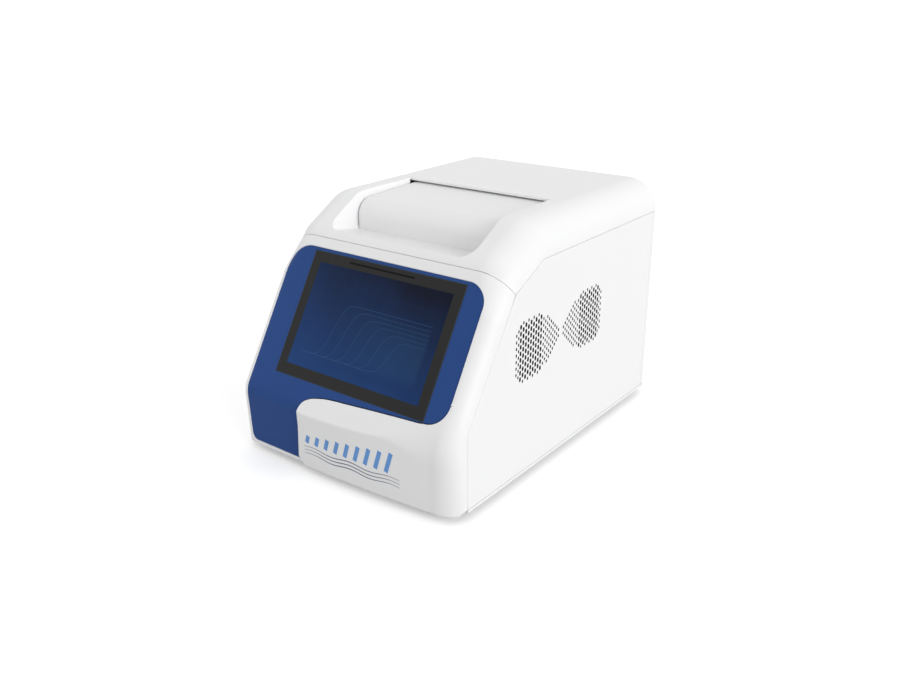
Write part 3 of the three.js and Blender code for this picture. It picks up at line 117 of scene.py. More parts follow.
# Blue fascia and the white lower block, seen from the front
MASK_LEFT, MASK_RIGHT = -162.0, 154.5
MASK_FOOT, MASK_TOP = 4.0, 255.7
MASK_LEFT_RADIUS = 34.0
MASK_RIGHT_RADIUS = 28.5
MASK_FOOT_RADIUS = 9.0
FASCIA_INSET = 1.2
FASCIA_CLEAR = 2.6
FOOT_RIM = 0.3
BLOCK_LEFT = -63.9
BLOCK_FOOT_LEFT = -71.0
BLOCK_FOOT_RADIUS = 12.0
BLOCK_TOP_RADIUS = 17.4
BLOCK_SHOULDER = 76.0
BLOCK_EDGE = 4.5
SOFT_FROM, SOFT_TO = BLOCK_SHOULDER - 22, BLOCK_SHOULDER + 2
BULGE_CENTRE = -60.0
BULGE_RADIUS = 2000.0
BAND = [(-47.6, 94.4), (-39.2, 96.5), (-28.6, 98.5), (-15.5, 100.0), (6.8, 101.5), (49.3, 104.3),
        (90.2, 106.8), (118.0, 108.3), (126.0, 109.4)]
CREASE_FADE, CREASE_FADE_RUN = 62.0, 84.0

# Print on the lower block: bars that grow to the right over three waved lines
BARS = 9
FIRST_BAR, BAR_STEP = -50.0, 16.0
BAR_FOOT, SHORT_BAR, BAR_GROWTH, BAR_LEAN = 36.0, 12.0, 2.4, 0.35
LINE_FROM, LINE_TO = -55.0, 98.0
LINE_HEIGHTS = (30.0, 25.0, 20.0)
WAVE, WAVES = 1.6, 2.5
PRINT_LIFT = 0.05

# Touch screen as left, right, foot and top, measured up the slope
GLASS = (-120.8, 124.8, 129.0, 294.7)
DISPLAY = (-106.5, 110.5, 144.5, 280.5)
SENSOR_LEFT, SENSOR_RIGHT, SENSOR_FOOT, SENSOR_TOP = 48.0, 62.0, 6.2, 8.6
PICTURE_MARGIN, PICTURE_FOOT = 14.0, 12.0

# Curves on the display, one after another to the right, over a grid
FIRST_CURVE, CURVE_STEP, CURVE_STEEPNESS = 58.0, 19.0, 9.0
CURVE_HEIGHT, CURVE_DROP, CURVE_FOOT = 72.0, 5.5, 20.0
GRID_WIDTH, GRID_HEIGHT = 18.0, 15.0

# Recess, deck, lid
RECESS_HALF = 115.0
RECESS_FRONT = 119.4
RECESS_CORNER = 18.0
RECESS_REAR = 291.0
LIP_HEIGHT = 275.8
DECK_HEIGHT = 266.0
SCOOP = [(0, 0), (0.25, 0.32), (0.75, 0.86), (1, 1)]
SCOOP_DEPTH = 58.0
LIP_START, LIP_FULL_DEPTH = 0.9, 150.0
FILLET_SHARE, WIDEST_FILLET = 0.35, 5.0
COVER_REAR_EDGE, RECESS_REAR_EDGE, BAY_EDGE = 2.0, 0.6, 0.8
BAY_HALF = 67.0
BAY_FRONT, BAY_REAR = 182.0, 279.0
BLOCK_CENTRE = 230.5
HOOD_HALF = 114.4
HOOD_FRONT, HOOD_REAR = 175.5, 300.0
HOOD_FOOT, HOOD_SHOULDER = 266.15, 283.0
HOOD_RADIUS = 23.5
HOOD_RISE = 3.2
HOOD_WALL = 2.5

# Sample block
BLOCK_HALF, BLOCK_HALF_DEPTH, BLOCK_TOP, BLOCK_DEPTH = 63.0, 42.0, 260.0, 18.5
WELL_COLUMNS, WELL_ROWS, WELL_PITCH, WELL_RADIUS = 12, 8, 9, 3.35
WELL_STEPS = ((1, 0.4), (0.95, 6), (0.6, 15.5), (0.25, 16.5))
WELL_DEPTH = 16.8

# Side vents: each column's number says how many half pitches its end slots lie from the middle
VENT_HEIGHT = 166.4
VENT_ROW = 4.18
VENT_TIP = 5.9
VENT_STEP = 4.43
WIDE_VENT_STEP = 5.54
INNER_ROWS = (1, 2, 3, 4, 5, 6, 7, 6, 7)
WIDE_ROWS = (8, 9, 8, 9, 8, 9, 8, 9, 8)
OUTER_ROWS = (7, 6)
SLOT_WALL = 0.2
SLOT_EDGE = 0.15
SLOT_ROUNDNESS = 0.96

# Side panels, feet and the thickness of the sheets at their edges
PANEL_FOOT, PANEL_REAR = 4.0, 472.6
PANEL_THICK, FRAME_THICK, BLOCK_THICK, FASCIA_THICK, COVER_THICK = 3.0, 4.0, 9.0, 2.3, 3.0
FOOT_ACROSS, FRONT_FEET, REAR_FEET = 137.5, 44, 436
FOOT_OUTLINE = [(0, -0.3), (13.3, -0.3), (13.8, -0.6), (14, -1.2), (14, -7.6), (13.7, -8.7), (12.9, -9.6),
                (11.8, -10), (8, -10), (7.6, -9.7), (7.4, -8.4), (0, -8.2)]

# Spacing of the points on the shells
POINT_STEP = 3.0
SHELL_STEP = 4.0
BLOCK_STEP = 3.5

# Stage: where the lamps shine from, how soft they are, and the camera's turn, roll, lens and place
RIGHT_LAMP, RIGHT_SOFTNESS = (0.95, -0.15, 0.22), 40
REAR_LAMP, LEFT_LAMP, OTHER_SOFTNESS = (0.5, 0.65, 0.55), (-0.85, -0.4, 0.35), 50
AZIMUTH, ELEVATION, ROLL = math.radians(37.850), math.radians(21.699), math.radians(-0.449)
SENSOR_WIDTH, LENS = 36, 36.09
CAMERA_PLACE = (0.7120, -0.9247, 0.5884)


# Settings


def length(name, text, value):
    """A size in millimetres that the user can change."""
    return FloatProperty(name=name, description=text, default=value * 0.001, unit="LENGTH", precision=4)


def colour(name, text, value):
    """A colour that the user can change."""
    return FloatVectorProperty(name=name, description=text, default=value, subtype="COLOR", size=3,
                               min=0, max=1)


def light(name, place, value):
    """A setting for the strength of a light."""
    text = f"Strength of the soft light from {place}"
    return FloatProperty(name=name, description=text, default=value, min=0)


class CaseSettings(bpy.types.PropertyGroup):
    white: colour("Case white", "Colour of the white shells", (0.83, 0.83, 0.835))
    blue: colour("Fascia blue", "Colour of the fascia round the screen", (0.026, 0.072, 0.245))
    seam_edge: length("Seam edge", "Rounding of the shell edges along the seams", 0.5)
    fascia_edge: length("Fascia edge", "Rounding of the white edge round the fascia", 1.1)
    recess_edge: length("Recess edge", "Rounding of the edge of the finger recess", 2.4)
    crease: length("Crease", "Rounding of the crease across the lower block", 2.0)
    crease_right: length("Crease at the right", "Rounding of the same crease where it fades out", 90)
    lid_edge: length("Lid edge", "Rounding of the ends of the lid", 6)


class ScreenSettings(bpy.types.PropertyGroup):
    bezel: colour("Bezel", "Colour of the border of the glass", (0.024, 0.025, 0.024))
    display_top: colour("Display top", "Colour at the top of the display", (0.003, 0.006, 0.02))
    display_foot: colour("Display foot", "Colour at the foot of the display", (0.012, 0.05, 0.18))
    trace: colour("Traces", "Colour of the curves on the display", (0.03, 0.1, 0.22))
    traces: IntProperty(name="Curves", description="Number of curves on the display", default=6,
                        min=0, max=12)


class VentSettings(bpy.types.PropertyGroup):
    wide: length("Wide slot", "Width of the slots in the middle columns", 4.1)
    tall: length("Tall slot", "Height of the slots in the middle columns", 6.2)
    narrow: length("Narrow slot", "Width of the slots in the other columns", 2.8)
    low: length("Low slot", "Height of the slots in the other columns", 4.3)


class DecalSettings(bpy.types.PropertyGroup):
    line: colour("Line", "Colour of the thin lines on the lower block", (0.012, 0.03, 0.1))
    bar: colour("Bar", "Colour of the bars on the lower block", (0.1, 0.3, 0.68))
    thickness: length("Line width", "Width of the thin lines", 1.3)
    bar_width: length("Bar width", "Width of the bars", 6)


class StudioSettings(bpy.types.PropertyGroup):
    floor: colour("Floor", "Colour of the floor", (0.98, 0.98, 0.98))
    floor_thrown: colour("Floor bounce", "Colour of the light that the floor throws back", (0.5, 0.5, 0.5))
    floor_size: length("Floor size", "Side of the square floor", 60000)
    floor_glow: light("Floor glow", "the floor itself", 0.22)
    right: light("Right light", "the right", 1.65)
    rear: light("Rear light", "behind", 0.12)
    left: light("Left light", "the left", 0.35)
    ambient: light("Ambient", "all round", 0.77)


# Surfaces


def turned(radius, start, turn):
    """How far a point moves in depth and height round a bend of that radius."""
    over = start - turn
    return radius * (np.cos(over) - math.cos(start)), radius * (np.sin(over) - math.sin(start))


def profile(along):
    """Points and outward directions of the middle profile at distances along it."""
    along = np.asarray(along, float)
    knee = np.clip((along - KNEE_START) / KNEE_RADIUS, 0, KNEE_TURN)
    bend = np.clip((along - SEAM_REACH) / BEND_RADIUS, 0, BEND_TURN)
    shoulder = np.clip((along - FACET_END) / SHOULDER_RADIUS, 0, FACET)
    front = np.minimum(along, KNEE_START)
    slope = np.clip(along - KNEE_END, 0, SEAM_REACH - KNEE_END)
    facet = np.clip(along - FACET_START, 0, FACET_LENGTH)
    top = np.maximum(along - SHOULDER_END, 0)
    knee_d, knee_h = turned(KNEE_RADIUS, FRONT_TURN, knee)
    bend_d, bend_h = turned(BEND_RADIUS, SLOPE_TURN, bend)
    shoulder_d, shoulder_h = turned(SHOULDER_RADIUS, math.pi / 2 + FACET, shoulder)
    d = FRONT_SETBACK - math.sin(LEAN) * front + knee_d + math.cos(SLOPE) * slope
    d = d + bend_d + math.cos(FACET) * facet + shoulder_d + top
    h = math.cos(LEAN) * front + knee_h + math.sin(SLOPE) * slope
    h = h + bend_h + math.sin(FACET) * facet + shoulder_h
    facing = FRONT_TURN - knee - bend - shoulder
    return d, h, np.cos(facing), np.sin(facing)


EDGE_STATIONS = [-OVERRUN, KNEE_START, KNEE_END, UPPER_SCREEN, SEAM_REACH, SHOULDER_END]


def edge_radius(along, left):
    """Radius of the rounded side edge at distances along the profile."""
    def run(corner):
        radii = [corner, (corner + SCREEN_EDGE) / 2, SCREEN_EDGE, SCREEN_EDGE, SEAM_EDGE, TOP_EDGE]
        return np.interp(along, EDGE_STATIONS, radii)
    return np.where(left, run(LEFT_CORNER), run(RIGHT_CORNER))


def across_to_x(across):
    """Distance from the middle for a distance measured across and round the side edge."""
    turn = np.clip((np.abs(across) - FLAT_HALF) / TOP_EDGE, 0, math.pi / 2)
    return np.where(np.abs(across) < FLAT_HALF, np.abs(across), FLAT_HALF + TOP_EDGE * np.sin(turn))


def x_to_across(x):
    """The opposite of across_to_x."""
    turn = np.arcsin(np.clip((np.abs(x) - FLAT_HALF) / TOP_EDGE, 0, 1))
    return np.sign(x) * np.where(np.abs(x) < FLAT_HALF, np.abs(x), FLAT_HALF + TOP_EDGE * turn)


def case_skin(across, along):
    """Point of the outside of the case."""
    across, along = np.asarray(across, float), np.asarray(along, float)
    x = across_to_x(across)
    edge = edge_radius(along, across < 0)
    into = np.clip(x - (HALF_WIDTH - edge), 0, edge)
    inset = edge - np.sqrt(edge ** 2 - into ** 2) + np.maximum(0, np.abs(across) - FLAT_HALF - SIDE_TURN)
    d, h, out_d, out_h = profile(along)
    return np.stack([np.sign(across) * x, d - out_d * inset, h - out_h * inset], -1)


def eased(share):
    """A share from zero to one that starts and ends gently."""
    share = np.clip(share, 0, 1)
    return share * share * (3 - 2 * share)


def crease_height(x):
    """Height of the crease across the lower block, which rises as the block curves back to the right."""
    bow = np.maximum(np.minimum(x, HALF_WIDTH - RIGHT_CORNER) - BULGE_CENTRE, 0) ** 2 / (2 * BULGE_RADIUS)
    return (bow - SLOPE_FOOT) / (SLOPE_RUN + LEAN_RUN)


def block_skin(across, along):
    """Point of the lower block, with along measured up the slope from its crease."""
    settings = bpy.context.scene.pcr_case
    across, along = np.asarray(across, float), np.asarray(along, float)
    x = np.where(across < 0, across, across_to_x(across))
    crease_h = crease_height(x)
    crease_d = SLOPE_FOOT + crease_h * SLOPE_RUN
    fade = eased((x - CREASE_FADE) / CREASE_FADE_RUN)
    radius = (settings.crease + (settings.crease_right - settings.crease) * fade) * 1000
    up = eased(along * math.sin(SLOPE) / (JOIN_HEIGHT - crease_h))
    down = np.clip(-along / (crease_h + OVERRUN), 0, 1)

    def run(foot):
        """From its value at the foot to the screen's at the join, halfway at the crease."""
        value = (foot + SCREEN_EDGE) / 2 * (1 - up) + SCREEN_EDGE * up
        return value + (foot - value) * down
    wide = run(RIGHT_CORNER)
    deep = run(SIDE_SEAM - (HALF_WIDTH - RIGHT_CORNER - BULGE_CENTRE) ** 2 / (2 * BULGE_RADIUS))
    into = np.clip((x - (HALF_WIDTH - wide)) / wide, 0, 1)
    inset = deep * (1 - np.sqrt(1 - into ** 2)) + np.maximum(0, across - FLAT_HALF - SIDE_TURN)
    reach = radius * math.tan(KNEE_TURN / 2)
    middle = FRONT_TURN - KNEE_TURN / 2
    centre_d = crease_d - math.cos(middle) * radius / math.cos(KNEE_TURN / 2)
    centre_h = crease_h - math.sin(middle) * radius / math.cos(KNEE_TURN / 2)
    facing = FRONT_TURN - np.clip((along + reach) / (2 * reach), 0, 1) * KNEE_TURN
    below = np.minimum(along + reach, 0)
    above = np.maximum(along - reach, 0)
    d = centre_d + (radius - inset) * np.cos(facing) - math.sin(LEAN) * below + math.cos(SLOPE) * above
    h = centre_h + (radius - inset) * np.sin(facing) + math.cos(LEAN) * below + math.sin(SLOPE) * above
    return np.stack([x, d, h], -1)


def at(surface, places):
    """Points of a surface at places on it."""
    return surface(places[:, 0], places[:, 1])


def normals_of(surface, places, step=0.05):
    """Outward directions of a surface at places on it."""
    u, v = places[:, 0], places[:, 1]
    du = surface(u + step, v) - surface(u - step, v)
    dv = surface(u, v + step) - surface(u, v - step)
    return unit(np.cross(du, dv))


def unit(vectors):
    """The vectors at length one."""
    return vectors / np.maximum(np.linalg.norm(vectors, axis=-1, keepdims=True), 1e-12)


def solve(test, low, high, count=1):
    """The values between low and high, one for each test, where it turns from negative to positive."""
    low, high = np.full(count, float(low)), np.full(count, float(high))
    for _ in range(44):
        middle = (low + high) / 2
        inside = test(middle) < 0
        low = np.where(inside, middle, low)
        high = np.where(inside, high, middle)
    return (low + high) / 2


# Flat outlines


def arc(centre_x, centre_y, radius_x, radius_y, start, end, steps):
    """Points of an elliptical arc, angles in half turns."""
    turn = np.linspace(start, end, steps + 1) * math.pi
    return np.stack([centre_x + radius_x * np.cos(turn), centre_y + radius_y * np.sin(turn)], -1)


def joined(*parts):
    """One outline from runs of points, with repeated points left out."""
    points = np.vstack([np.atleast_2d(part) for part in parts])
    apart = np.linalg.norm(points - np.roll(points, 1, 0), axis=1) > 1e-4
    return points[apart]


def spaced(points, step, closed=True):
    """The outline with more points, at most a step apart."""
    ends = np.roll(points, -1, 0) if closed else points[1:]
    starts = points if closed else points[:-1]
    runs = []
    for a, b in zip(starts, ends):
        count = max(1, int(math.ceil(np.linalg.norm(b - a) / step)))
        runs.append(a + (b - a) * (np.arange(count) / count)[:, None])
    if not closed:
        runs.append(points[-1:])
    return np.vstack(runs)


def drawn_in(loop, reach):
    """The loop moved toward its left side by a reach at each point."""
    ahead = unit(np.roll(loop, -1, 0) - loop)
    behind = unit(loop - np.roll(loop, 1, 0))
    left = unit(np.stack([-ahead[:, 1] - behind[:, 1], ahead[:, 0] + behind[:, 0]], -1))
    square = np.maximum((left * np.stack([-ahead[:, 1], ahead[:, 0]], -1)).sum(1), 0.5)
    return loop + left * (np.broadcast_to(reach, len(loop)) / square)[:, None]


def inside(points, loop):
    """Which points lie inside the loop."""
    x, y = points[:, 0][:, None], points[:, 1][:, None]
    ax, ay = loop[:, 0][None], loop[:, 1][None]
    bx, by = np.roll(ax, -1, 1), np.roll(ay, -1, 1)
    rising = (ay > y) != (by > y)
    reach = (bx - ax) * (y - ay) / np.where(by == ay, 1e-12, by - ay) + ax
    return (np.logical_and(rising, x < reach).sum(1) % 2) == 1


def smooth_run(points, steps):
    """A smooth curve through the points."""
    points = np.asarray(points, float)
    padded = np.vstack([2 * points[0] - points[1], points, 2 * points[-1] - points[-2]])
    runs = []
    for a, b, c, d in zip(padded, padded[1:], padded[2:], padded[3:]):
        t = (np.arange(steps) / steps)[:, None]
        runs.append(0.5 * (2 * b + (c - a) * t + (2 * a - 5 * b + 4 * c - d) * t ** 2
                           + (3 * b - a - 3 * c + d) * t ** 3))
    return np.vstack(runs + [points[-1:]])


def fill(loops, step=0.0):
    """Triangles over the first loop less the other, convex loops, with a grid of points inside."""
    points = np.vstack(loops)
    owner = np.concatenate([np.full(len(loop), i) for i, loop in enumerate(loops)])
    if step > 0:
        low, high = loops[0].min(0), loops[0].max(0)
        us = np.arange(low[0] + step / 2, high[0], step)
        vs = np.arange(low[1] + step / 2, high[1], step)
        grid = np.stack(np.meshgrid(us, vs), -1).reshape(-1, 2)
        keep = inside(grid, loops[0])
        for hole in loops[1:]:
            keep &= ~inside(grid, hole)
        grid = grid[keep]
        tree = KDTree(len(points))
        for i, (u, v) in enumerate(points):
            tree.insert((u, v, 0), i)
        tree.balance()
        clear = [tree.find((u, v, 0))[2] > 0.55 * step for u, v in grid]
        grid = grid[np.array(clear, bool)] if len(grid) else grid
        points = np.vstack([points, grid])
        owner = np.concatenate([owner, np.full(len(grid), -1)])
    edges, start = [], 0
    for loop in loops:
        count = len(loop)
        edges += [(start + i, start + (i + 1) % count) for i in range(count)]
        start += count
    out = delaunay_2d_cdt([Vector(p) for p in points.tolist()], edges, [], 0, 1e-7)
    origin = np.array([ids[0] if ids else -1 for ids in out[3]])
    faces = origin[np.array([f for f in out[2] if len(f) == 3])]
    faces = faces[(faces >= 0).all(1)]
    owners = owner[faces]
    in_hole = (owners[:, 0] == owners[:, 1]) & (owners[:, 1] == owners[:, 2]) & (owners[:, 0] > 0)
    faces = faces[~in_hole]
    faces = faces[inside(points[faces].mean(1), loops[0])]
    return points, faces


# Pieces


class Piece:
    """Gathers the faces of one piece, with an outward direction at each point."""

    def __init__(self):
        self.points, self.normals, self.faces, self.finishes = [], [], [], []
        self.count = 0

    def add(self, points, normals, faces, finish=0):
        """Takes in points, their outward directions, and faces that count from the first of them."""
        points = np.asarray(points, float)
        self.points.append(points)
        self.normals.append(np.broadcast_to(np.asarray(normals, float), points.shape))
        self.faces += (np.asarray(faces) + self.count).tolist()
        self.finishes += [finish] * len(faces)
        self.count += len(points)

    def strip(self, rings, normals, closed=True, skip=None, finish=0):
        """Faces between rings of points, each ring further off the surface than the one before."""
        count = len(rings[0])
        last = count if closed else count - 1
        quads = []
        for k in range(len(rings) - 1):
            for i in range(last):
                if skip is not None and skip[i]:
                    continue
                j = (i + 1) % count
                quads.append((k * count + i, (k + 1) * count + i, (k + 1) * count + j, k * count + j))
        self.add(np.vstack(rings), np.vstack(normals), quads, finish)

    def cover(self, surface, loops, radii, depth, step, skips=None, openings=None, back=True):
        """A sheet over a surface inside the first loop and outside the others, with rounded edges.

        The depth of the edge is one number, or one for each loop. Where skips marks a place the
        edge is left out, and where openings marks one only the rounding is made. The last ring
        of each rounding is handed back.
        """
        depths = np.broadcast_to(depth, len(loops))
        rims = []
        inner = [drawn_in(loop, radius) for loop, radius in zip(loops, radii)]
        places, faces = fill(inner, step)
        points, normals = at(surface, places), normals_of(surface, places)
        self.add(points, normals, faces)
        start = 0
        for n, (loop, radius) in enumerate(zip(loops, radii)):
            base = points[start:start + len(loop)]
            up = normals[start:start + len(loop)]
            start += len(loop)
            out = at(surface, loop) - base
            out = out - up * (out * up).sum(1, keepdims=True)
            reach = np.linalg.norm(out, axis=1, keepdims=True)
            out = unit(out)
            drop = np.broadcast_to(radius, len(loop))[:, None]
            rings, ups = [], []
            for turn in np.linspace(0, math.pi / 2, 5):
                rings.append(base + out * reach * math.sin(turn) - up * drop * (1 - math.cos(turn)))
                ups.append(up * math.cos(turn) + out * math.sin(turn))
            edge = base + out * reach
            skip = None if skips is None else skips[n]
            self.strip(rings, ups, skip=skip)
            rims.append(rings[-1])
            if openings is not None and openings[n] is not None:
                skip = openings[n]
            foot = edge - up * depths[n]
            self.strip([rings[-1], foot], [out, out], skip=skip)
            if back:
                self.strip([foot, base - up * depths[n]], [-up, -up], skip=skip)
        if back:
            places, faces = fill(inner, step * 3)
            points, normals = at(surface, places), normals_of(surface, places)
            self.add(points - normals * depths[0], -normals, faces[:, ::-1])
        return rims

    def make(self, name, body, finishes, replaces, slot):
        """Makes the mesh object, placed in the frame and riding on its body."""
        points = np.vstack(self.points) + (0, FRONT_Y, FOOT_HEIGHT)
        mesh = bpy.data.meshes.new(name)
        mesh.from_pydata((points * 0.001).tolist(), [], self.faces)
        mesh.polygons.foreach_set("material_index", self.finishes)
        mesh.polygons.foreach_set("use_smooth", [True] * len(mesh.polygons))
        for finish in finishes:
            mesh.materials.append(finish)
        mesh.normals_split_custom_set_from_vertices(unit(np.vstack(self.normals)).tolist())
        obj = bpy.data.objects.new(name, mesh)
        bpy.context.scene.collection.objects.link(obj)
        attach(obj, body)
        if replaces:
            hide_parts(*replaces)


def lathe(piece, x, y, outline, steps=56):
    """Turns an outline of radius and height round an upright axis."""
    turn = np.linspace(0, 2 * math.pi, steps, endpoint=False)
    for (r0, z0), (r1, z1) in zip(outline, outline[1:]):
        slant = unit(np.array([z1 - z0, r0 - r1]))
        out = np.stack([np.cos(turn) * slant[0], np.sin(turn) * slant[0], np.full(steps, slant[1])], -1)
        rings = [np.stack([x + r * np.cos(turn), y + r * np.sin(turn), np.full(steps, z)], -1)
                 for r, z in ((r0, z0), (r1, z1))]
        piece.strip(rings[::-1], [out, out])


# Finishes


class Graph:
    """Short names for the nodes of one material."""

    def __init__(self, name):
        self.material = bpy.data.materials.new(name)
        self.material.use_nodes = True
        self.tree = self.material.node_tree
        self.shader = self.tree.nodes["Principled BSDF"]
        self.place = self.node("ShaderNodeTexCoord").outputs["Object"]

    def node(self, kind, **settings):
        """A new node of a kind."""
        made = self.tree.nodes.new(kind)
        for key, value in settings.items():
            setattr(made, key, value)
        return made

    def link(self, source, socket):
        """Joins a source to a socket, or sets the socket where the source is a plain value."""
        if hasattr(source, "is_linked"):
            self.tree.links.new(source, socket)
        else:
            socket.default_value = source

    def maths(self, operation, *values):
        """The result of an operation on numbers or sockets."""
        made = self.node("ShaderNodeMath", operation=operation)
        for value, socket in zip(values, made.inputs):
            self.link(value, socket)
        return made.outputs[0]

    def plus(self, first, second):
        return self.maths("ADD", first, second)

    def less(self, first, second):
        return self.maths("SUBTRACT", first, second)

    def times(self, first, second):
        return self.maths("MULTIPLY", first, second)

    def noise(self, scale, detail=3.0, stretch=(1, 1, 1)):
        """A noise pattern in the object's own space."""
        mapping = self.node("ShaderNodeMapping")
        mapping.inputs["Scale"].default_value = stretch
        self.link(self.place, mapping.inputs["Vector"])
        made = self.node("ShaderNodeTexNoise")
        self.link(mapping.outputs[0], made.inputs["Vector"])
        made.inputs["Scale"].default_value = scale
        made.inputs["Detail"].default_value = detail
        return made.outputs["Fac"]

    def spread(self, value, low, high, from_low=0.3, from_high=0.7):
        """The value between from_low and from_high stretched to run from low to high."""
        made = self.node("ShaderNodeMapRange")
        for key, item in (("Value", value), ("From Min", from_low), ("From Max", from_high),
                          ("To Min", low), ("To Max", high)):
            self.link(item, made.inputs[key])
        return made.outputs[0]

    def blend(self, share, first, second):
        """The first colour turned into the second by a share."""
        made = self.node("ShaderNodeMix", data_type="RGBA")
        self.link(share, made.inputs["Factor"])
        for item, socket in ((first, made.inputs["A"]), (second, made.inputs["B"])):
            self.link((*item, 1) if isinstance(item, tuple) else item, socket)
        return made.outputs["Result"]

    def bump(self, height, depth):
        """Surface directions for a relief of that height pattern and depth in metres."""
        made = self.node("ShaderNodeBump")
        made.inputs["Distance"].default_value = depth
        made.inputs["Strength"].default_value = 1.0
        self.link(height, made.inputs["Height"])
        return made.outputs[0]

    def set(self, **values):
        """Sets inputs of the shader, named with _ for each space."""
        for key, value in values.items():
            socket = self.shader.inputs[key.replace("_", " ")]
            self.link((*value, 1) if isinstance(value, tuple) else value, socket)


def scaled(tint, share):
    """A colour made darker or lighter."""
    return tuple(min(1.0, part * share) for part in tint)


def moulded(name, tint, roughness, grain=900, depth=0.00002, uneven=0.04, coat=0.0, shine=0.5):
    """Moulded plastic: a faint cloudiness, uneven gloss and a fine spark-eroded texture."""
    if name in bpy.data.materials:
        return bpy.data.materials[name]
    graph = Graph(name)
    tint = tuple(tint)
    clouds = graph.noise(9, 4)
    fine = graph.noise(grain, 2)
    tone = graph.blend(graph.spread(clouds, 0, 1), scaled(tint, 1 - uneven), tint)
    tone = graph.blend(graph.spread(fine, 0, 0.35), tone, scaled(tint, 1 - uneven * 1.5))
    gloss = graph.plus(graph.spread(clouds, roughness * 0.9, roughness * 1.08),
                       graph.spread(fine, -0.02, 0.02))
    graph.set(Base_Color=tone, Roughness=gloss, Normal=graph.bump(fine, depth), Coat_Weight=coat,
              Coat_Roughness=0.12, Specular_IOR_Level=shine)
    return graph.material


def metal(name, tint, roughness, stretch=(1, 1, 1), grain=700, depth=0.00002, uneven=0.1):
    """Bare metal with a grain that may run one way."""
    if name in bpy.data.materials:
        return bpy.data.materials[name]
    graph = Graph(name)
    clouds = graph.noise(14, 5)
    lines = graph.noise(grain, 3, stretch)
    tone = graph.blend(graph.spread(clouds, 0, 1), scaled(tint, 1 - uneven), tint)
    tone = graph.blend(graph.spread(lines, 0, 0.5), tone, scaled(tint, 1 - uneven))
    gloss = graph.plus(graph.spread(clouds, roughness * 0.85, roughness * 1.2),
                       graph.spread(lines, -0.04, 0.04))
    graph.set(Base_Color=tone, Roughness=gloss, Normal=graph.bump(lines, depth), Metallic=1.0)
    return graph.material


def white_plastic():
    white = bpy.context.scene.pcr_case.white
    return moulded("white_plastic", white, 0.4, 1100, 0.000008, 0.012, shine=0.25)


def white_paint():
    return moulded("white_paint", bpy.context.scene.pcr_case.white, 0.42, 600, 0.00002, 0.02)


def blue_lacquer():
    blue = bpy.context.scene.pcr_case.blue
    return moulded("blue_lacquer", blue, 0.42, 1300, 0.000006, 0.06, shine=0.05)


def printed_line():
    return moulded("printed_line", bpy.context.scene.pcr_decal.line, 0.34, 1400, 0.000005, 0.1)


def printed_bar():
    return moulded("printed_bar", bpy.context.scene.pcr_decal.bar, 0.34, 1400, 0.000005, 0.14)


# Finishes with a fixed colour: the kind, and what it is called with after the name
FINISHES = {
    "black_moulding": (moulded, (0.016, 0.016, 0.017), 0.45, 800, 0.00003, 0.15),
    "grey_plastic": (moulded, (0.09, 0.093, 0.1), 0.45, 800, 0.00003, 0.1),
    "black_rubber": (moulded, (0.02, 0.02, 0.02), 0.8, 500, 0.00005, 0.25),
    "filter_foam": (moulded, (0.006, 0.006, 0.0065), 0.95, 260, 0.0006, 0.4),
    "grey_insulation": (moulded, (0.045, 0.048, 0.052), 0.85, 320, 0.0002, 0.2),
    "white_ceramic": (moulded, (0.72, 0.69, 0.62), 0.55, 600, 0.00003, 0.08),
    "green_board": (moulded, (0.01, 0.085, 0.032), 0.4, 500, 0.00003, 0.25, 0.4),
    "plated_sheet": (metal, (0.6, 0.61, 0.62), 0.38, (1, 1, 1), 120, 0.00001, 0.16),
    "machined_aluminium": (metal, (0.72, 0.73, 0.74), 0.3, (0.06, 1, 1), 900),
    "ground_steel": (metal, (0.5, 0.505, 0.52), 0.22, (1, 0.05, 1), 900),
    "screw_steel": (metal, (0.46, 0.465, 0.48), 0.28, (1, 1, 1), 1500),
}


def stock(name):
    """One of the finishes with a fixed colour."""
    kind, *values = FINISHES[name]
    return kind(name, *values)


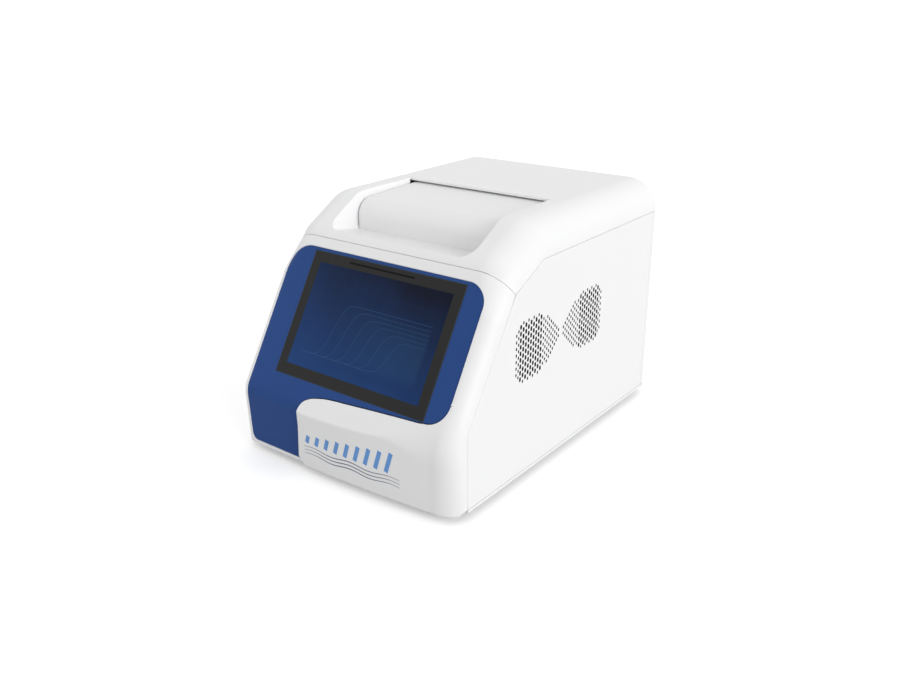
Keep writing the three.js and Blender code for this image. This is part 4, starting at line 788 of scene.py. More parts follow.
def screen_material():
    """The cover glass: black border, sensor window, a dark blue display with faint curves and a painted
    highlight along its edge.
    """
    settings = bpy.context.scene.pcr_screen
    graph = Graph("display_glass")
    maths, plus, less, times = graph.maths, graph.plus, graph.less, graph.times
    split = graph.node("ShaderNodeSeparateXYZ")
    graph.link(graph.place, split.inputs[0])
    x = times(split.outputs["X"], 1000)
    d = less(times(split.outputs["Y"], 1000), FRONT_Y + SLOPE_FOOT)
    h = less(times(split.outputs["Z"], 1000), FOOT_HEIGHT)
    up = plus(times(d, math.cos(SLOPE)), times(h, math.sin(SLOPE)))
    left, right, foot, top = DISPLAY
    base = foot + CURVE_FOOT

    def between(value, low, high, soft):
        away = maths("ABSOLUTE", less(value, (low + high) / 2))
        return graph.spread(away, 1, 0, (high - low) / 2 - soft, (high - low) / 2 + soft)

    def box(x0, x1, y0, y1, soft):
        return times(between(x, x0, x1, soft), between(up, y0, y1, soft))

    # Ground of the picture, lighter at the foot and the left
    rise = graph.spread(up, 0, 1, foot, top)
    run = graph.spread(x, 0, 1, left, right)
    fade = less(less(1, times(rise, 0.75)), times(run, 0.3))
    fade = plus(fade, graph.spread(graph.noise(14, 2), -0.06, 0.06))
    picture = graph.blend(fade, tuple(settings.display_top), tuple(settings.display_foot))

    # Curves with a faint fill under them, and the grid
    glow = 0.0
    for i in range(settings.traces):
        bend = maths("DIVIDE", less(x, left + FIRST_CURVE + i * CURVE_STEP), CURVE_STEEPNESS)
        level = times(plus(maths("TANH", bend), 1), (CURVE_HEIGHT - i * CURVE_DROP) / 2)
        away = maths("ABSOLUTE", less(less(up, level), base))
        steep = plus(0.7, times(2.6, less(1, maths("ABSOLUTE", maths("TANH", bend)))))
        line = less(1, maths("MINIMUM", maths("DIVIDE", away, steep), 1))
        glow = maths("MAXIMUM", glow, times(line, 0.55))
        under = graph.spread(less(plus(level, base), up), 0, 0.03, 0, 3)
        glow = plus(glow, times(under, graph.spread(up, 0, 1, base - 6, base + 10)))
    for across, pitch in ((x, GRID_WIDTH), (up, GRID_HEIGHT)):
        cell = maths("ABSOLUTE", less(maths("FRACT", maths("DIVIDE", across, pitch)), 0.5))
        glow = maths("MAXIMUM", glow, graph.spread(cell, 0, 0.13, 0.485, 0.497))
    glow = times(glow, box(left + PICTURE_MARGIN, right - PICTURE_MARGIN, foot + PICTURE_FOOT,
                           top - PICTURE_MARGIN, 3))
    picture = graph.blend(glow, picture, tuple(settings.trace))

    # Border, sensor window, and a painted highlight along the edge of the glass
    face = graph.blend(box(left, right, foot, top, 0.25), tuple(settings.bezel), picture)
    window = box(left + SENSOR_LEFT, right - SENSOR_RIGHT, top + SENSOR_FOOT, top + SENSOR_TOP, 0.3)
    face = graph.blend(window, face, (0.002, 0.002, 0.002))
    # Painted highlight: a thin band round the edge of the glass is painted lighter, standing in for light
    # caught by the cut edge
    rim = less(1, box(GLASS[0] + 0.7, GLASS[1] - 0.7, GLASS[2] + 0.7, GLASS[3] - 0.7, 0.2))
    face = graph.blend(times(rim, 0.6), face, (0.06, 0.08, 0.11))
    smear = graph.noise(26, 5)
    graph.set(Base_Color=face, Roughness=graph.spread(smear, 0.1, 0.2), Specular_IOR_Level=0.06,
              Normal=graph.bump(smear, 0.000004))
    return graph.material


# Outlines of the shells


def front_limit(height):
    """Depth of the seam behind the front frame at a height."""
    run = (SEAM_CORNER[0] - SEAM_DEPTH) / (SEAM_HEIGHT - SEAM_CORNER[1])
    depths = [SIDE_SEAM, SIDE_SEAM, SEAM_CORNER[0], SEAM_CORNER[0] - run * (FAR_ABOVE - SEAM_CORNER[1])]
    return np.interp(height, [FAR_BELOW, SEAM_KNEE, SEAM_CORNER[1], FAR_ABOVE], depths)


def on_surface(surface, points, low, high):
    """Places on a surface that are seen at points, as x and height, from the front."""
    across = x_to_across(points[:, 0])

    def short_of_height(reach):
        return surface(across, reach)[:, 2] - points[:, 1]
    along = solve(short_of_height, low, high, len(across))
    return np.stack([across, along], -1)


def past_seam(points):
    """How far points lie behind the seam of the front frame."""
    return points[:, 1] - front_limit(points[:, 2])


def side_run(surface, alongs, side):
    """Places where a surface meets the seam behind the front frame, at distances along."""
    alongs = np.asarray(alongs, float)

    def test(across):
        return past_seam(surface(side * across, alongs))
    across = solve(test, 20, 300, len(alongs))
    return np.stack([side * across, alongs], -1)


def top_run(acrosses, gap=0.0):
    """Places where the case meets the seam in front of the top cover."""
    acrosses = np.asarray(acrosses, float)

    def test(along):
        return past_seam(case_skin(acrosses, along)) - gap
    along = solve(test, SEAM_REACH - 70, SEAM_REACH + 30, len(acrosses))
    return np.stack([acrosses, along], -1)


def seam_corner(side, gap=0.0):
    """Where the side seam turns into the top seam."""
    def test(across):
        return SEAM_CORNER[1] - at(case_skin, top_run(side * across, gap))[:, 2]
    across = solve(test, FLAT_HALF, FLAT_HALF + SIDE_TURN + 30)
    return top_run(side * across, gap)


def mask_outline(grow):
    """The outline of the fascia: from its foot up the left, and across and down the right."""
    left, right, top = MASK_LEFT - grow, MASK_RIGHT + grow, MASK_TOP + grow
    left_radius, right_radius = MASK_LEFT_RADIUS + grow, MASK_RIGHT_RADIUS + grow
    left_rise, right_rise = left_radius * math.sin(SLOPE), right_radius * math.sin(SLOPE)
    foot = MASK_FOOT_RADIUS + grow
    up_left = np.vstack([
        arc(left + foot, MASK_FOOT - grow + foot, foot, foot, 1.5, 1, 8),
        arc(left + left_radius, top - left_rise, left_radius, left_rise, 1, 0.5, 18),
    ])
    down_right = arc(right - right_radius, top - right_rise, right_radius, right_rise, 0.5, 0, 16)
    return up_left, down_right


def block_outline(grow):
    """The outline of the lower block from its foot, up the left, along the band to the join."""
    foot_x, top_x = BLOCK_FOOT_LEFT + BLOCK_FOOT_RADIUS, BLOCK_LEFT + BLOCK_TOP_RADIUS
    left = arc(foot_x, BLOCK_FOOT_RADIUS, BLOCK_FOOT_RADIUS + grow, BLOCK_FOOT_RADIUS + grow, 1.5, 1, 14)
    shoulder = arc(top_x, BLOCK_SHOULDER, BLOCK_TOP_RADIUS + grow, BLOCK_TOP_RADIUS + grow, 1, 0.64, 14)
    band = smooth_run([shoulder[-1]] + [(x, h + grow) for x, h in BAND], 8)[1:]
    corner_x = MASK_RIGHT - MASK_RIGHT_RADIUS
    corner_rise = JOIN_HEIGHT - BAND[-1][1] - grow
    corner = arc(corner_x, JOIN_HEIGHT, MASK_RIGHT_RADIUS - grow, corner_rise, -0.5, 0, 16)
    return left, shoulder, np.vstack([band, corner[1:]])


def block_place(points):
    """Places on the lower block seen at the points from the front."""
    return on_surface(block_skin, points, -130, 120)


def case_place(points):
    """Places on the case seen at the points from the front."""
    return on_surface(case_skin, points, -20, SEAM_REACH + 20)


def front_frame(settings):
    """The white front frame: the rim round the fascia and the lower block."""
    piece = Piece()
    edge, rim = settings.seam_edge * 1000, settings.fascia_edge * 1000
    block_left, shoulder, band = block_outline(0)

    # Rim of the case round the fascia
    corner_left, corner_right = seam_corner(-1), seam_corner(1)
    below = BLOCK_FOOT_RADIUS - MASK_FOOT
    cross = BLOCK_FOOT_LEFT + BLOCK_FOOT_RADIUS - math.sqrt(BLOCK_FOOT_RADIUS ** 2 - below ** 2)
    low = np.vstack([block_left[block_left[:, 1] <= MASK_FOOT], [[cross, MASK_FOOT]]])
    foot = np.vstack([side_run(case_skin, [0.0], -1), case_place(low[:1])])
    around = np.vstack([low[-1:], *mask_outline(0), [[MASK_RIGHT, JOIN_HEIGHT]]])
    around = case_place(spaced(around, POINT_STEP, False))
    join = np.vstack([around[-1:], side_run(case_skin, [JOIN_REACH], 1)])
    right_up = side_run(case_skin, np.linspace(JOIN_REACH, corner_right[0, 1], 50), 1)
    over = top_run(np.linspace(corner_right[0, 0], corner_left[0, 0], 130))
    left_down = side_run(case_skin, np.linspace(corner_left[0, 1], 0, 110), -1)
    loop, radii, skip = stitched([
        (spaced(foot, POINT_STEP, False), edge),
        (case_place(low), FOOT_RIM),
        (around, rim),
        (spaced(join, POINT_STEP, False), 0.0),
        (right_up, edge), (over, edge), (left_down, edge),
    ])
    piece.cover(case_skin, [loop], [radii], FRAME_THICK, SHELL_STEP, skips=[skip])

    # Lower block
    join = (JOIN_HEIGHT - crease_height(HALF_WIDTH)) / math.sin(SLOPE)
    under_foot = SLOPE_FOOT / (SLOPE_RUN + LEAN_RUN) - 12
    up_side = side_run(block_skin, np.linspace(under_foot, 49.0, 60), 1)
    heights = at(block_skin, up_side)[:, 2]
    up_side = up_side[(heights > 0.2) & (up_side[:, 1] < join - 0.5)]
    join_side = side_run(block_skin, [join], 1)
    join_mask = np.array([[x_to_across(np.array(MASK_RIGHT)), join]])
    foot_x = np.linspace(BLOCK_FOOT_LEFT + BLOCK_FOOT_RADIUS, HALF_WIDTH - 0.6, 70)
    foot = block_place(np.stack([foot_x, np.zeros(70)], -1))
    up_left = block_place(spaced(np.vstack([block_left, shoulder]), 2, False))[::-1]
    heights = at(block_skin, up_left)[:, 2]
    soft = np.interp(heights, [SOFT_FROM, SOFT_TO], [BLOCK_EDGE, rim])
    loop, radii, skip = stitched([
        (foot, edge),
        (np.vstack([up_side, join_side]), edge),
        (spaced(np.vstack([join_side, join_mask]), POINT_STEP, False), 0.0),
        (block_place(band)[::-1], rim),
        (up_left, soft),
    ])
    piece.cover(block_skin, [loop], [radii], BLOCK_THICK, BLOCK_STEP, skips=[skip])
    return piece


def stitched(sections):
    """One loop from runs of places, the edge radius at each place, and where there is no edge."""
    loop, radii, bare = [], [], []
    for places, radius in sections:
        wide = np.broadcast_to(np.asarray(radius, float), len(places))
        loop.append(places[:-1])
        radii.append(wide[:-1])
        bare.append(wide[:-1] == 0)
    loop, radii, bare = np.vstack(loop), np.concatenate(radii), np.concatenate(bare)
    apart = np.linalg.norm(loop - np.roll(loop, 1, 0), axis=1) > 1e-3
    return loop[apart], radii[apart], bare[apart]


def fascia_skin(across, along):
    """Point of the sunk face of the fascia."""
    across, along = np.broadcast_arrays(np.asarray(across, float), np.asarray(along, float))
    points = case_skin(across, along)
    return points - normals_of(case_skin, np.stack([across, along], -1)) * FASCIA_INSET


def front_fascia():
    """The blue sheet behind the white frame, open behind the glass."""
    piece = Piece()
    gap = SEAM_GAP
    up_left, down_right = mask_outline(-gap)
    left, shoulder, band = block_outline(gap)
    left[:, 0] += FASCIA_CLEAR
    shoulder[:, 0] += FASCIA_CLEAR * np.linspace(1, 0, len(shoulder))
    left = left[left[:, 1] > MASK_FOOT + gap + 0.5]
    view = joined(left, shoulder, band, [[MASK_RIGHT - gap, MASK_TOP - 60]], down_right[::-1],
                  up_left[::-1], [[left[0, 0] + 6, MASK_FOOT + gap]])
    view = spaced(view, POINT_STEP)
    loop = on_surface(fascia_skin, view, -20, SEAM_REACH + 20)

    # Opening behind the glass, cut back at the lower right for the band
    x0, x1, t0, t1 = GLASS
    room = 0.2
    hole = np.array([[x0 - room, t0 + room], [x0 - room, t1 + room], [x1 + room, t1 + room],
                     [x1 + room, t0 + 2.5], [x1 - 2.0, t0 + 1.2]])
    hole[:, 1] += KNEE_END - KNEE_HEIGHT / math.sin(SLOPE) - KNEE_TANGENT
    hole = spaced(hole, 4)
    piece.cover(fascia_skin, [loop, hole], [0.5, 0.12], FASCIA_THICK, SHELL_STEP)
    return piece


# Cover, lid, panels


def scoop_height(depth):
    """Height of the floor of the finger recess at a depth."""
    curve = smooth_run(SCOOP, 6)
    heights = LIP_HEIGHT + (DECK_HEIGHT - LIP_HEIGHT) * curve[:, 1]
    return np.interp(depth, RECESS_FRONT + SCOOP_DEPTH * curve[:, 0], heights)


def floor_skin(across, along):
    """Point of the floor of the finger recess and the deck."""
    return np.stack(np.broadcast_arrays(across, along, scoop_height(along)), -1)


def cover_side(side):
    """Places along the lower edge of the top cover, from the front to the rear."""
    alongs = np.concatenate([np.linspace(seam_corner(side, SEAM_GAP)[0, 1], SHOULDER_END, 40),
                             np.linspace(SHOULDER_END, REAR_REACH, 75)[1:]])

    def test(across):
        point = case_skin(side * across, alongs)
        floor = np.interp(point[:, 1], [SEAM_CORNER[0] + SEAM_GAP, COVER_CORNER[0]],
                          [SEAM_CORNER[1], COVER_CORNER[1]])
        return floor - point[:, 2]
    across = solve(test, 60, 300, len(alongs))
    return np.stack([side * across, alongs], -1)


def recess_plan():
    """The opening of the finger recess seen from above."""
    middle, front, corner = RECESS_HALF - RECESS_CORNER, RECESS_FRONT + RECESS_CORNER, RECESS_CORNER
    return spaced(np.vstack([
        [[-RECESS_HALF, RECESS_REAR]], [[RECESS_HALF, RECESS_REAR]],
        arc(middle, front, corner, corner, 0, -0.5, 12),
        arc(-middle, front, corner, corner, -0.5, -1, 12),
    ]), POINT_STEP)


def top_cover(settings):
    """The white top cover with the finger recess and the deck round the sample block."""
    piece = Piece()
    edge, lip = settings.seam_edge * 1000, settings.recess_edge * 1000
    right, left = cover_side(1), cover_side(-1)
    front = top_run(np.linspace(left[0, 0], right[0, 0], 130), SEAM_GAP)
    rear = np.stack([np.linspace(right[-1, 0], left[-1, 0], 100), np.full(100, REAR_REACH)], -1)
    loop, radii, _ = stitched([(front, edge), (right, edge), (rear, COVER_REAR_EDGE), (left[::-1], edge)])

    # Opening of the recess, as a loop with the cover on its left
    plan = recess_plan()

    def short_of_plan(reach):
        return profile(reach)[0] - plan[:, 1]
    along = solve(short_of_plan, SEAM_REACH - 20, REAR_REACH, len(plan))
    hole = np.stack([plan[:, 0], along], -1)
    behind = plan[:, 1] > RECESS_REAR - 0.01
    rounding = np.interp(plan[:, 1], [RECESS_FRONT, LIP_FULL_DEPTH], [LIP_START, lip])
    hole_radii = np.where(behind, RECESS_REAR_EDGE, rounding)
    rims = piece.cover(case_skin, [loop, hole], [radii, hole_radii], COVER_THICK, SHELL_STEP,
                       openings=[None, ~behind])

    # Rear wall
    outline = at(case_skin, rear)[:, [0, 2]]
    corners = [[[-HALF_WIDTH, COVER_CORNER[1]]], [[HALF_WIDTH, COVER_CORNER[1]]]]
    places, faces = fill([drawn_in(joined(outline, *corners), 1.9)])
    wall = np.stack([places[:, 0], np.full(len(places), CASE_DEPTH - 0.01), places[:, 1]], -1)
    piece.add(wall, (0, 1, 0), faces[:, ::-1])

    # Walls of the recess
    walls = plan[~behind]
    start = int(np.argmax(np.linalg.norm(walls - np.roll(walls, 1, 0), axis=1)))
    walls = np.roll(walls, -start, 0)[::-1]
    upper = np.roll(rims[1][~behind], -start, 0)[::-1]
    closed = np.vstack([walls, walls[-1:] + (0, 60), walls[:1] + (0, 60)])
    inward = unit(drawn_in(closed, 1.0)[:len(walls)] - walls)
    inward[[0, -1]] = [[-np.sign(walls[0, 0]), 0], [-np.sign(walls[-1, 0]), 0]]
    floor = scoop_height(walls[:, 1])
    room = np.maximum(upper[:, 2] - floor, 0.04)
    fillet = np.clip(room * FILLET_SHARE, 0.02, WIDEST_FILLET)[:, None]
    wide = np.hstack([inward, np.zeros((len(walls), 1))])
    lower = np.column_stack([walls, np.minimum(floor + fillet[:, 0], upper[:, 2] - 0.01)])
    piece.strip([lower, upper], [wide, wide], closed=False)

    # Fillet between the walls and the floor
    rings, ups = [lower], [wide]
    for turn in np.linspace(0, math.pi / 2, 6)[1:]:
        plan_point = walls + inward * fillet * (1 - math.cos(turn))
        height = scoop_height(plan_point[:, 1]) + fillet[:, 0] * (1 - math.sin(turn))
        rings.append(np.column_stack([plan_point, height]))
        ups.append(wide * math.cos(turn) + np.array([0, 0, 1]) * math.sin(turn))
    piece.strip(rings[::-1], ups[::-1], closed=False)

    # Floor round the opening for the sample block
    inner = rings[-1][:, :2]
    across = np.array([[inner[-1, 0], RECESS_REAR], [inner[0, 0], RECESS_REAR]])
    outline = np.vstack([inner, spaced(across, 8, False)])
    if np.cross(outline, np.roll(outline, -1, 0)).sum() < 0:
        outline = outline[::-1]
    bay = spaced(np.array([[-BAY_HALF, BAY_FRONT], [-BAY_HALF, BAY_REAR], [BAY_HALF, BAY_REAR],
                           [BAY_HALF, BAY_FRONT]]), 6)
    piece.cover(floor_skin, [outline, bay], [0.02, BAY_EDGE], COVER_THICK, SHELL_STEP)
    return piece


def lid_hood(settings):
    """The white lid: a rounded hood, open below and behind."""
    piece = Piece()
    edge = settings.lid_edge * 1000

    # The middle line with its outward directions: up the front, round the bend, back to the rear
    line = [(HOOD_FRONT, HOOD_FOOT, -1, 0), (HOOD_FRONT, HOOD_SHOULDER - 0.01, -1, 0)]
    line += [(HOOD_FRONT + HOOD_RADIUS * (1 + math.cos(a)), HOOD_SHOULDER + HOOD_RADIUS * math.sin(a),
              math.cos(a), math.sin(a)) for a in np.linspace(math.pi, math.pi / 2, 22)]
    top, start = HOOD_SHOULDER + HOOD_RADIUS, HOOD_FRONT + HOOD_RADIUS
    run = HOOD_REAR - start
    line += [(start + run * share, top + HOOD_RISE * share, -HOOD_RISE / run, 1)
             for share in np.linspace(0, 1, 16)[1:]]
    line = np.array(line)
    out = unit(line[:, 2:])

    # Places across, with the inset and the turn of the surface at each
    flat = HOOD_HALF - edge
    bends = [(edge * math.sin(a), edge * (1 - math.cos(a)), a) for a in np.linspace(0, math.pi / 2, 9)[1:]]
    stations = ([(-flat - x, inset, -a) for x, inset, a in bends[::-1]]
                + [(x, 0.0, 0.0) for x in np.linspace(-flat, flat, 40)]
                + [(flat + x, inset, a) for x, inset, a in bends])
    skins = []
    for shift, sign in ((0.0, 1), (HOOD_WALL, -1)):
        rings, ups = [], []
        for x, inset, a in stations:
            depth = line[:, 0] - out[:, 0] * (inset + shift)
            height = line[:, 1] - out[:, 1] * (inset + shift)
            height[0] = HOOD_FOOT
            across = np.full(len(line), x - math.copysign(shift, x) * (abs(a) / (math.pi / 2)))
            rings.append(np.column_stack([across, depth, height]))
            ups.append(sign * np.column_stack([np.full(len(line), math.sin(a)), out * math.cos(a)]))
        piece.strip(rings[::sign], ups[::sign], closed=False)
        for side, ring in ((-1, rings[0]), (1, rings[-1])):
            end = np.vstack([ring[:, 1:], [[HOOD_REAR, HOOD_FOOT]]])
            if np.cross(end, np.roll(end, -1, 0)).sum() < 0:
                end = end[::-1]
            places, faces = fill([end])
            faces = faces if side * sign > 0 else faces[:, ::-1]
            points = np.column_stack([np.full(len(places), ring[0, 0]), places])
            piece.add(points, (side * sign, 0, 0), faces)
        skins.append(rings)

    # Edges of the sheet at the front and the rear, then at both sides
    for index, facing, order in ((0, (0, 0, -1), 1), (-1, (0, 1, 0), -1)):
        pair = [np.array([ring[index] for ring in rings]) for rings in skins][::order]
        piece.strip(pair, [np.broadcast_to(facing, pair[0].shape)] * 2, closed=False)
    for side in (-1, 1):
        a, b = side * HOOD_HALF, side * (HOOD_HALF - HOOD_WALL)
        front, rear = HOOD_FRONT + edge, HOOD_REAR
        quad = [(a, front, HOOD_FOOT), (a, rear, HOOD_FOOT), (b, rear, HOOD_FOOT), (b, front, HOOD_FOOT)]
        piece.add(quad, (0, 0, -1), [(0, 1, 2, 3) if side < 0 else (3, 2, 1, 0)])
    return piece


def slot_loop(y, z, width, height, steps=3):
    """A slot with round ends, with the sheet on its left."""
    radius = min(width, height) / 2 * SLOT_ROUNDNESS
    loops = []
    for sign_y, sign_z, start in ((1, 1, 0.0), (1, -1, -0.5), (-1, -1, -1.0), (-1, 1, -1.5)):
        corner_y, corner_z = y + sign_y * (width / 2 - radius), z + sign_z * (height / 2 - radius)
        loops.append(arc(corner_y, corner_z, radius, radius, start + 0.5, start, steps))
    return joined(*loops)


def vent_loops(settings):
    """Every slot of one side, as loops of depth and height."""
    loops = []
    away = VENT_TIP - VENT_STEP
    groups = ((INNER_ROWS, VENT_STEP), (WIDE_ROWS, WIDE_VENT_STEP), (OUTER_ROWS, VENT_STEP))
    for rows_of_group, step in groups:
        for rows in rows_of_group:
            away += step
            for row in range(-rows, rows + 1, 2):
                large = rows_of_group is WIDE_ROWS and abs(row) < max(WIDE_ROWS)
                width = (settings.wide if large else settings.narrow) * 1000
                height = (settings.tall if large else settings.low) * 1000
                for place in (BLOCK_CENTRE - away, BLOCK_CENTRE + away):
                    loops.append(slot_loop(place, VENT_HEIGHT + row * VENT_ROW, width, height))
    return loops


def side_panel(settings, side):
    """A flat white side panel with its two groups of vent slots."""
    piece = Piece()
    gap = SEAM_GAP
    outline = np.array([
        [SIDE_SEAM + gap, PANEL_FOOT + gap], [PANEL_REAR, PANEL_FOOT + gap],
        [PANEL_REAR, COVER_CORNER[1] - gap], [COVER_CORNER[0], COVER_CORNER[1] - gap],
        [SEAM_CORNER[0] + gap, SEAM_CORNER[1] - gap], [SIDE_SEAM + gap, SEAM_KNEE],
    ])
    loops = [spaced(outline, 12)] + vent_loops(settings)
    if side < 0:
        loops = [loop[::-1] * (-1, 1) for loop in loops]

    def plate(across, along):
        return np.stack(np.broadcast_arrays(side * HALF_WIDTH, side * across, along), -1)
    edge = bpy.context.scene.pcr_case.seam_edge * 1000
    slots = len(loops) - 1
    depths = [PANEL_THICK] + [SLOT_WALL] * slots
    piece.cover(plate, loops, [edge] + [SLOT_EDGE] * slots, depths, 0.0, back=False)
    return piece


def thermal_block():
    """The aluminium sample block with its conical wells."""
    piece = Piece()
    left, right = -BLOCK_HALF, BLOCK_HALF
    front, rear = BLOCK_CENTRE - BLOCK_HALF_DEPTH, BLOCK_CENTRE + BLOCK_HALF_DEPTH
    outline = spaced(np.array([[left, front], [right, front], [right, rear], [left, rear]]), 9)
    wells = []
    for i in range(WELL_COLUMNS):
        for j in range(WELL_ROWS):
            x = (i - (WELL_COLUMNS - 1) / 2) * WELL_PITCH
            y = BLOCK_CENTRE + (j - (WELL_ROWS - 1) / 2) * WELL_PITCH
            wells.append(arc(x, y, WELL_RADIUS, WELL_RADIUS, 2, 0, 18)[:-1])

    def plate(across, along):
        return np.stack(np.broadcast_arrays(across, along, BLOCK_TOP), -1)
    piece.cover(plate, [outline] + wells, [0.5] + [0.35] * len(wells), BLOCK_DEPTH, 0.0, back=False)
    for well in wells:
        count = len(well)
        middle = well.mean(0)
        rings = [np.column_stack([middle + (well - middle) * share, np.full(count, BLOCK_TOP - deep)])
                 for share, deep in WELL_STEPS]
        up = np.column_stack([unit(middle - well), np.full(count, 0.2)])
        piece.strip(rings, [up] * len(rings))
        piece.add(np.vstack([rings[-1], [[*middle, BLOCK_TOP - WELL_DEPTH]]]), (0, 0, 1),
                  [((i + 1) % count, i, count) for i in range(count)])
    return piece


def stripe(piece, line, widths, finish):
    """A printed stripe on the lower block along a line seen from the front."""
    line = np.asarray(line, float)
    ahead = unit(np.gradient(line, axis=0))
    across = np.stack([-ahead[:, 1], ahead[:, 0]], -1)
    half = (np.asarray(widths, float) / 2)[:, None]
    sides = []
    for place in (line + across * half, line, line - across * half):
        place = block_place(place)
        sides.append((at(block_skin, place), normals_of(block_skin, place)))
    rings = [points + ups * PRINT_LIFT for points, ups in sides]
    piece.strip(rings, [ups for _, ups in sides], closed=False, finish=finish)


def front_decal(settings):
    """A generic printed pattern: slanted sky-blue bars that grow to the right over thin dark lines."""
    piece = Piece()
    share = np.linspace(0, 1, 90)
    for i in range(BARS):
        tall = SHORT_BAR + BAR_GROWTH * i
        rise = tall * share[::9]
        line = np.column_stack([FIRST_BAR + BAR_STEP * i + rise * BAR_LEAN, BAR_FOOT + rise])
        stripe(piece, line, np.full(len(line), settings.bar_width * 1000), 1)
    across = LINE_FROM + (LINE_TO - LINE_FROM) * share
    for height in LINE_HEIGHTS:
        line = np.column_stack([across, height + WAVE * np.sin(share * WAVES * 2 * math.pi)])
        stripe(piece, line, settings.thickness * 1000 * (0.4 + 0.6 * np.sin(share * math.pi)), 0)
    return piece


# Finishing of the CAD nodes


def dress(names, finish, bevel=0.0):
    """Gives CAD nodes a finish, and rounds their edges with a modifier."""
    for name in names:
        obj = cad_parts[name]
        obj.data.materials.clear()
        obj.data.materials.append(finish)
        if bevel > 0:
            weld = obj.modifiers.new("weld", "WELD")
            weld.merge_threshold = 0.000005
            round_off = obj.modifiers.new("edges", "BEVEL")
            round_off.width = bevel * 0.001
            round_off.segments = 2
            round_off.limit_method = "ANGLE"
            round_off.angle_limit = math.radians(40)
            split = obj.modifiers.new("shade", "EDGE_SPLIT")
            split.split_angle = math.radians(50)


# Operators


class PCR_OT_front_frame(bpy.types.Operator):
    """Make the white front frame with its lower block"""
    bl_idname = "pcr.front_frame"
    bl_label = "Front frame"
    bl_options = {"REGISTER", "UNDO"}

    def execute(self, context):
        piece = front_frame(context.scene.pcr_case)
        piece.make("front_frame_shell", "case", [white_plastic()], ["front_frame"], "white_shell")
        return {"FINISHED"}


class PCR_OT_front_fascia(bpy.types.Operator):
    """Make the blue fascia round the screen"""
    bl_idname = "pcr.front_fascia"
    bl_label = "Front fascia"
    bl_options = {"REGISTER", "UNDO"}

    def execute(self, context):
        piece = front_fascia()
        piece.make("front_fascia_sheet", "case", [blue_lacquer()], ["front_fascia"], "blue_fascia")
        return {"FINISHED"}


class PCR_OT_touch_screen(bpy.types.Operator):
    """Finish the touch screen and what holds it"""
    bl_idname = "pcr.touch_screen"
    bl_label = "Touch screen"
    bl_options = {"REGISTER", "UNDO"}

    def execute(self, context):
        dress(["screen_glass"], screen_material(), 0.35)
        dress(["display_panel"], stock("grey_plastic"), 0.3)
        dress(["display_bracket"], stock("plated_sheet"), 0.3)
        return {"FINISHED"}


class PCR_OT_decal(bpy.types.Operator):
    """Print a generic pattern on the lower block"""
    bl_idname = "pcr.decal"
    bl_label = "Printed pattern"
    bl_options = {"REGISTER", "UNDO"}

    def execute(self, context):
        piece = front_decal(context.scene.pcr_decal)
        piece.make("front_print", "case", [printed_line(), printed_bar()], (), "blue_fascia")
        return {"FINISHED"}


class PCR_OT_top_cover(bpy.types.Operator):
    """Make the top cover with the finger recess"""
    bl_idname = "pcr.top_cover"
    bl_label = "Top cover"
    bl_options = {"REGISTER", "UNDO"}

    def execute(self, context):
        piece = top_cover(context.scene.pcr_case)
        piece.make("top_cover_shell", "case", [white_plastic()], ["top_cover"], "white_shell")
        return {"FINISHED"}


class PCR_OT_lid(bpy.types.Operator):
    """Make the lid hood and finish its frame and drive"""
    bl_idname = "pcr.lid"
    bl_label = "Lid"
    bl_options = {"REGISTER", "UNDO"}

    def execute(self, context):
        piece = lid_hood(context.scene.pcr_case)
        piece.make("lid_hood_shell", "lid", [white_plastic()], ["lid_hood"], "white_shell")
        dress(["lid_frame"], stock("plated_sheet"), 0.3)
        guides = ["lid_rail_left", "lid_rail_right", "lid_screw", "lid_carriage_left", "lid_carriage_right"]
        dress(guides, stock("ground_steel"), 0.3)
        dress(["lid_nut", "screw_bearing"], stock("machined_aluminium"), 0.3)
        dress(["lid_motor"], stock("black_moulding"), 0.4)
        return {"FINISHED"}


class PCR_OT_side_panels(bpy.types.Operator):
    """Make both side panels with their vents and finish the dust filters"""
    bl_idname = "pcr.side_panels"
    bl_label = "Side panels"
    bl_options = {"REGISTER", "UNDO"}

    def execute(self, context):
        for name, side in (("side_panel_left", -1), ("side_panel_right", 1)):
            piece = side_panel(context.scene.pcr_vents, side)
            piece.make(name + "_sheet", "case", [white_plastic()], [name], "white_shell")
        dress(["vent_filter_left", "vent_filter_right"], stock("filter_foam"))
        return {"FINISHED"}


class PCR_OT_feet(bpy.types.Operator):
    """Make the four rubber feet"""
    bl_idname = "pcr.feet"
    bl_label = "Feet"
    bl_options = {"REGISTER", "UNDO"}

    def execute(self, context):
        for end, depth in (("front", FRONT_FEET), ("rear", REAR_FEET)):
            for side, x in (("left", -FOOT_ACROSS), ("right", FOOT_ACROSS)):
                piece = Piece()
                lathe(piece, x, depth, FOOT_OUTLINE)
                name = f"foot_{end}_{side}"
                piece.make(name + "_pad", "case", [stock("black_rubber")], [name], "rubber")
        return {"FINISHED"}


class PCR_OT_rear(bpy.types.Operator):
    """Finish the base and the rear panel with its sockets"""
    bl_idname = "pcr.rear"
    bl_label = "Base and rear panel"
    bl_options = {"REGISTER", "UNDO"}

    def execute(self, context):
        dress(["rear_panel"], white_plastic(), 0.5)
        dress(["base_tray"], white_paint(), 0.4)
        dress(["power_inlet", "data_ports", "power_rocker", "fuse_drawer"], stock("black_moulding"), 0.25)
        for side in ("left", "right"):
            screws = [f"rear_screw_{side}_lower", f"rear_screw_{side}_upper"]
            dress(screws, stock("screw_steel"), 0.3)
        return {"FINISHED"}


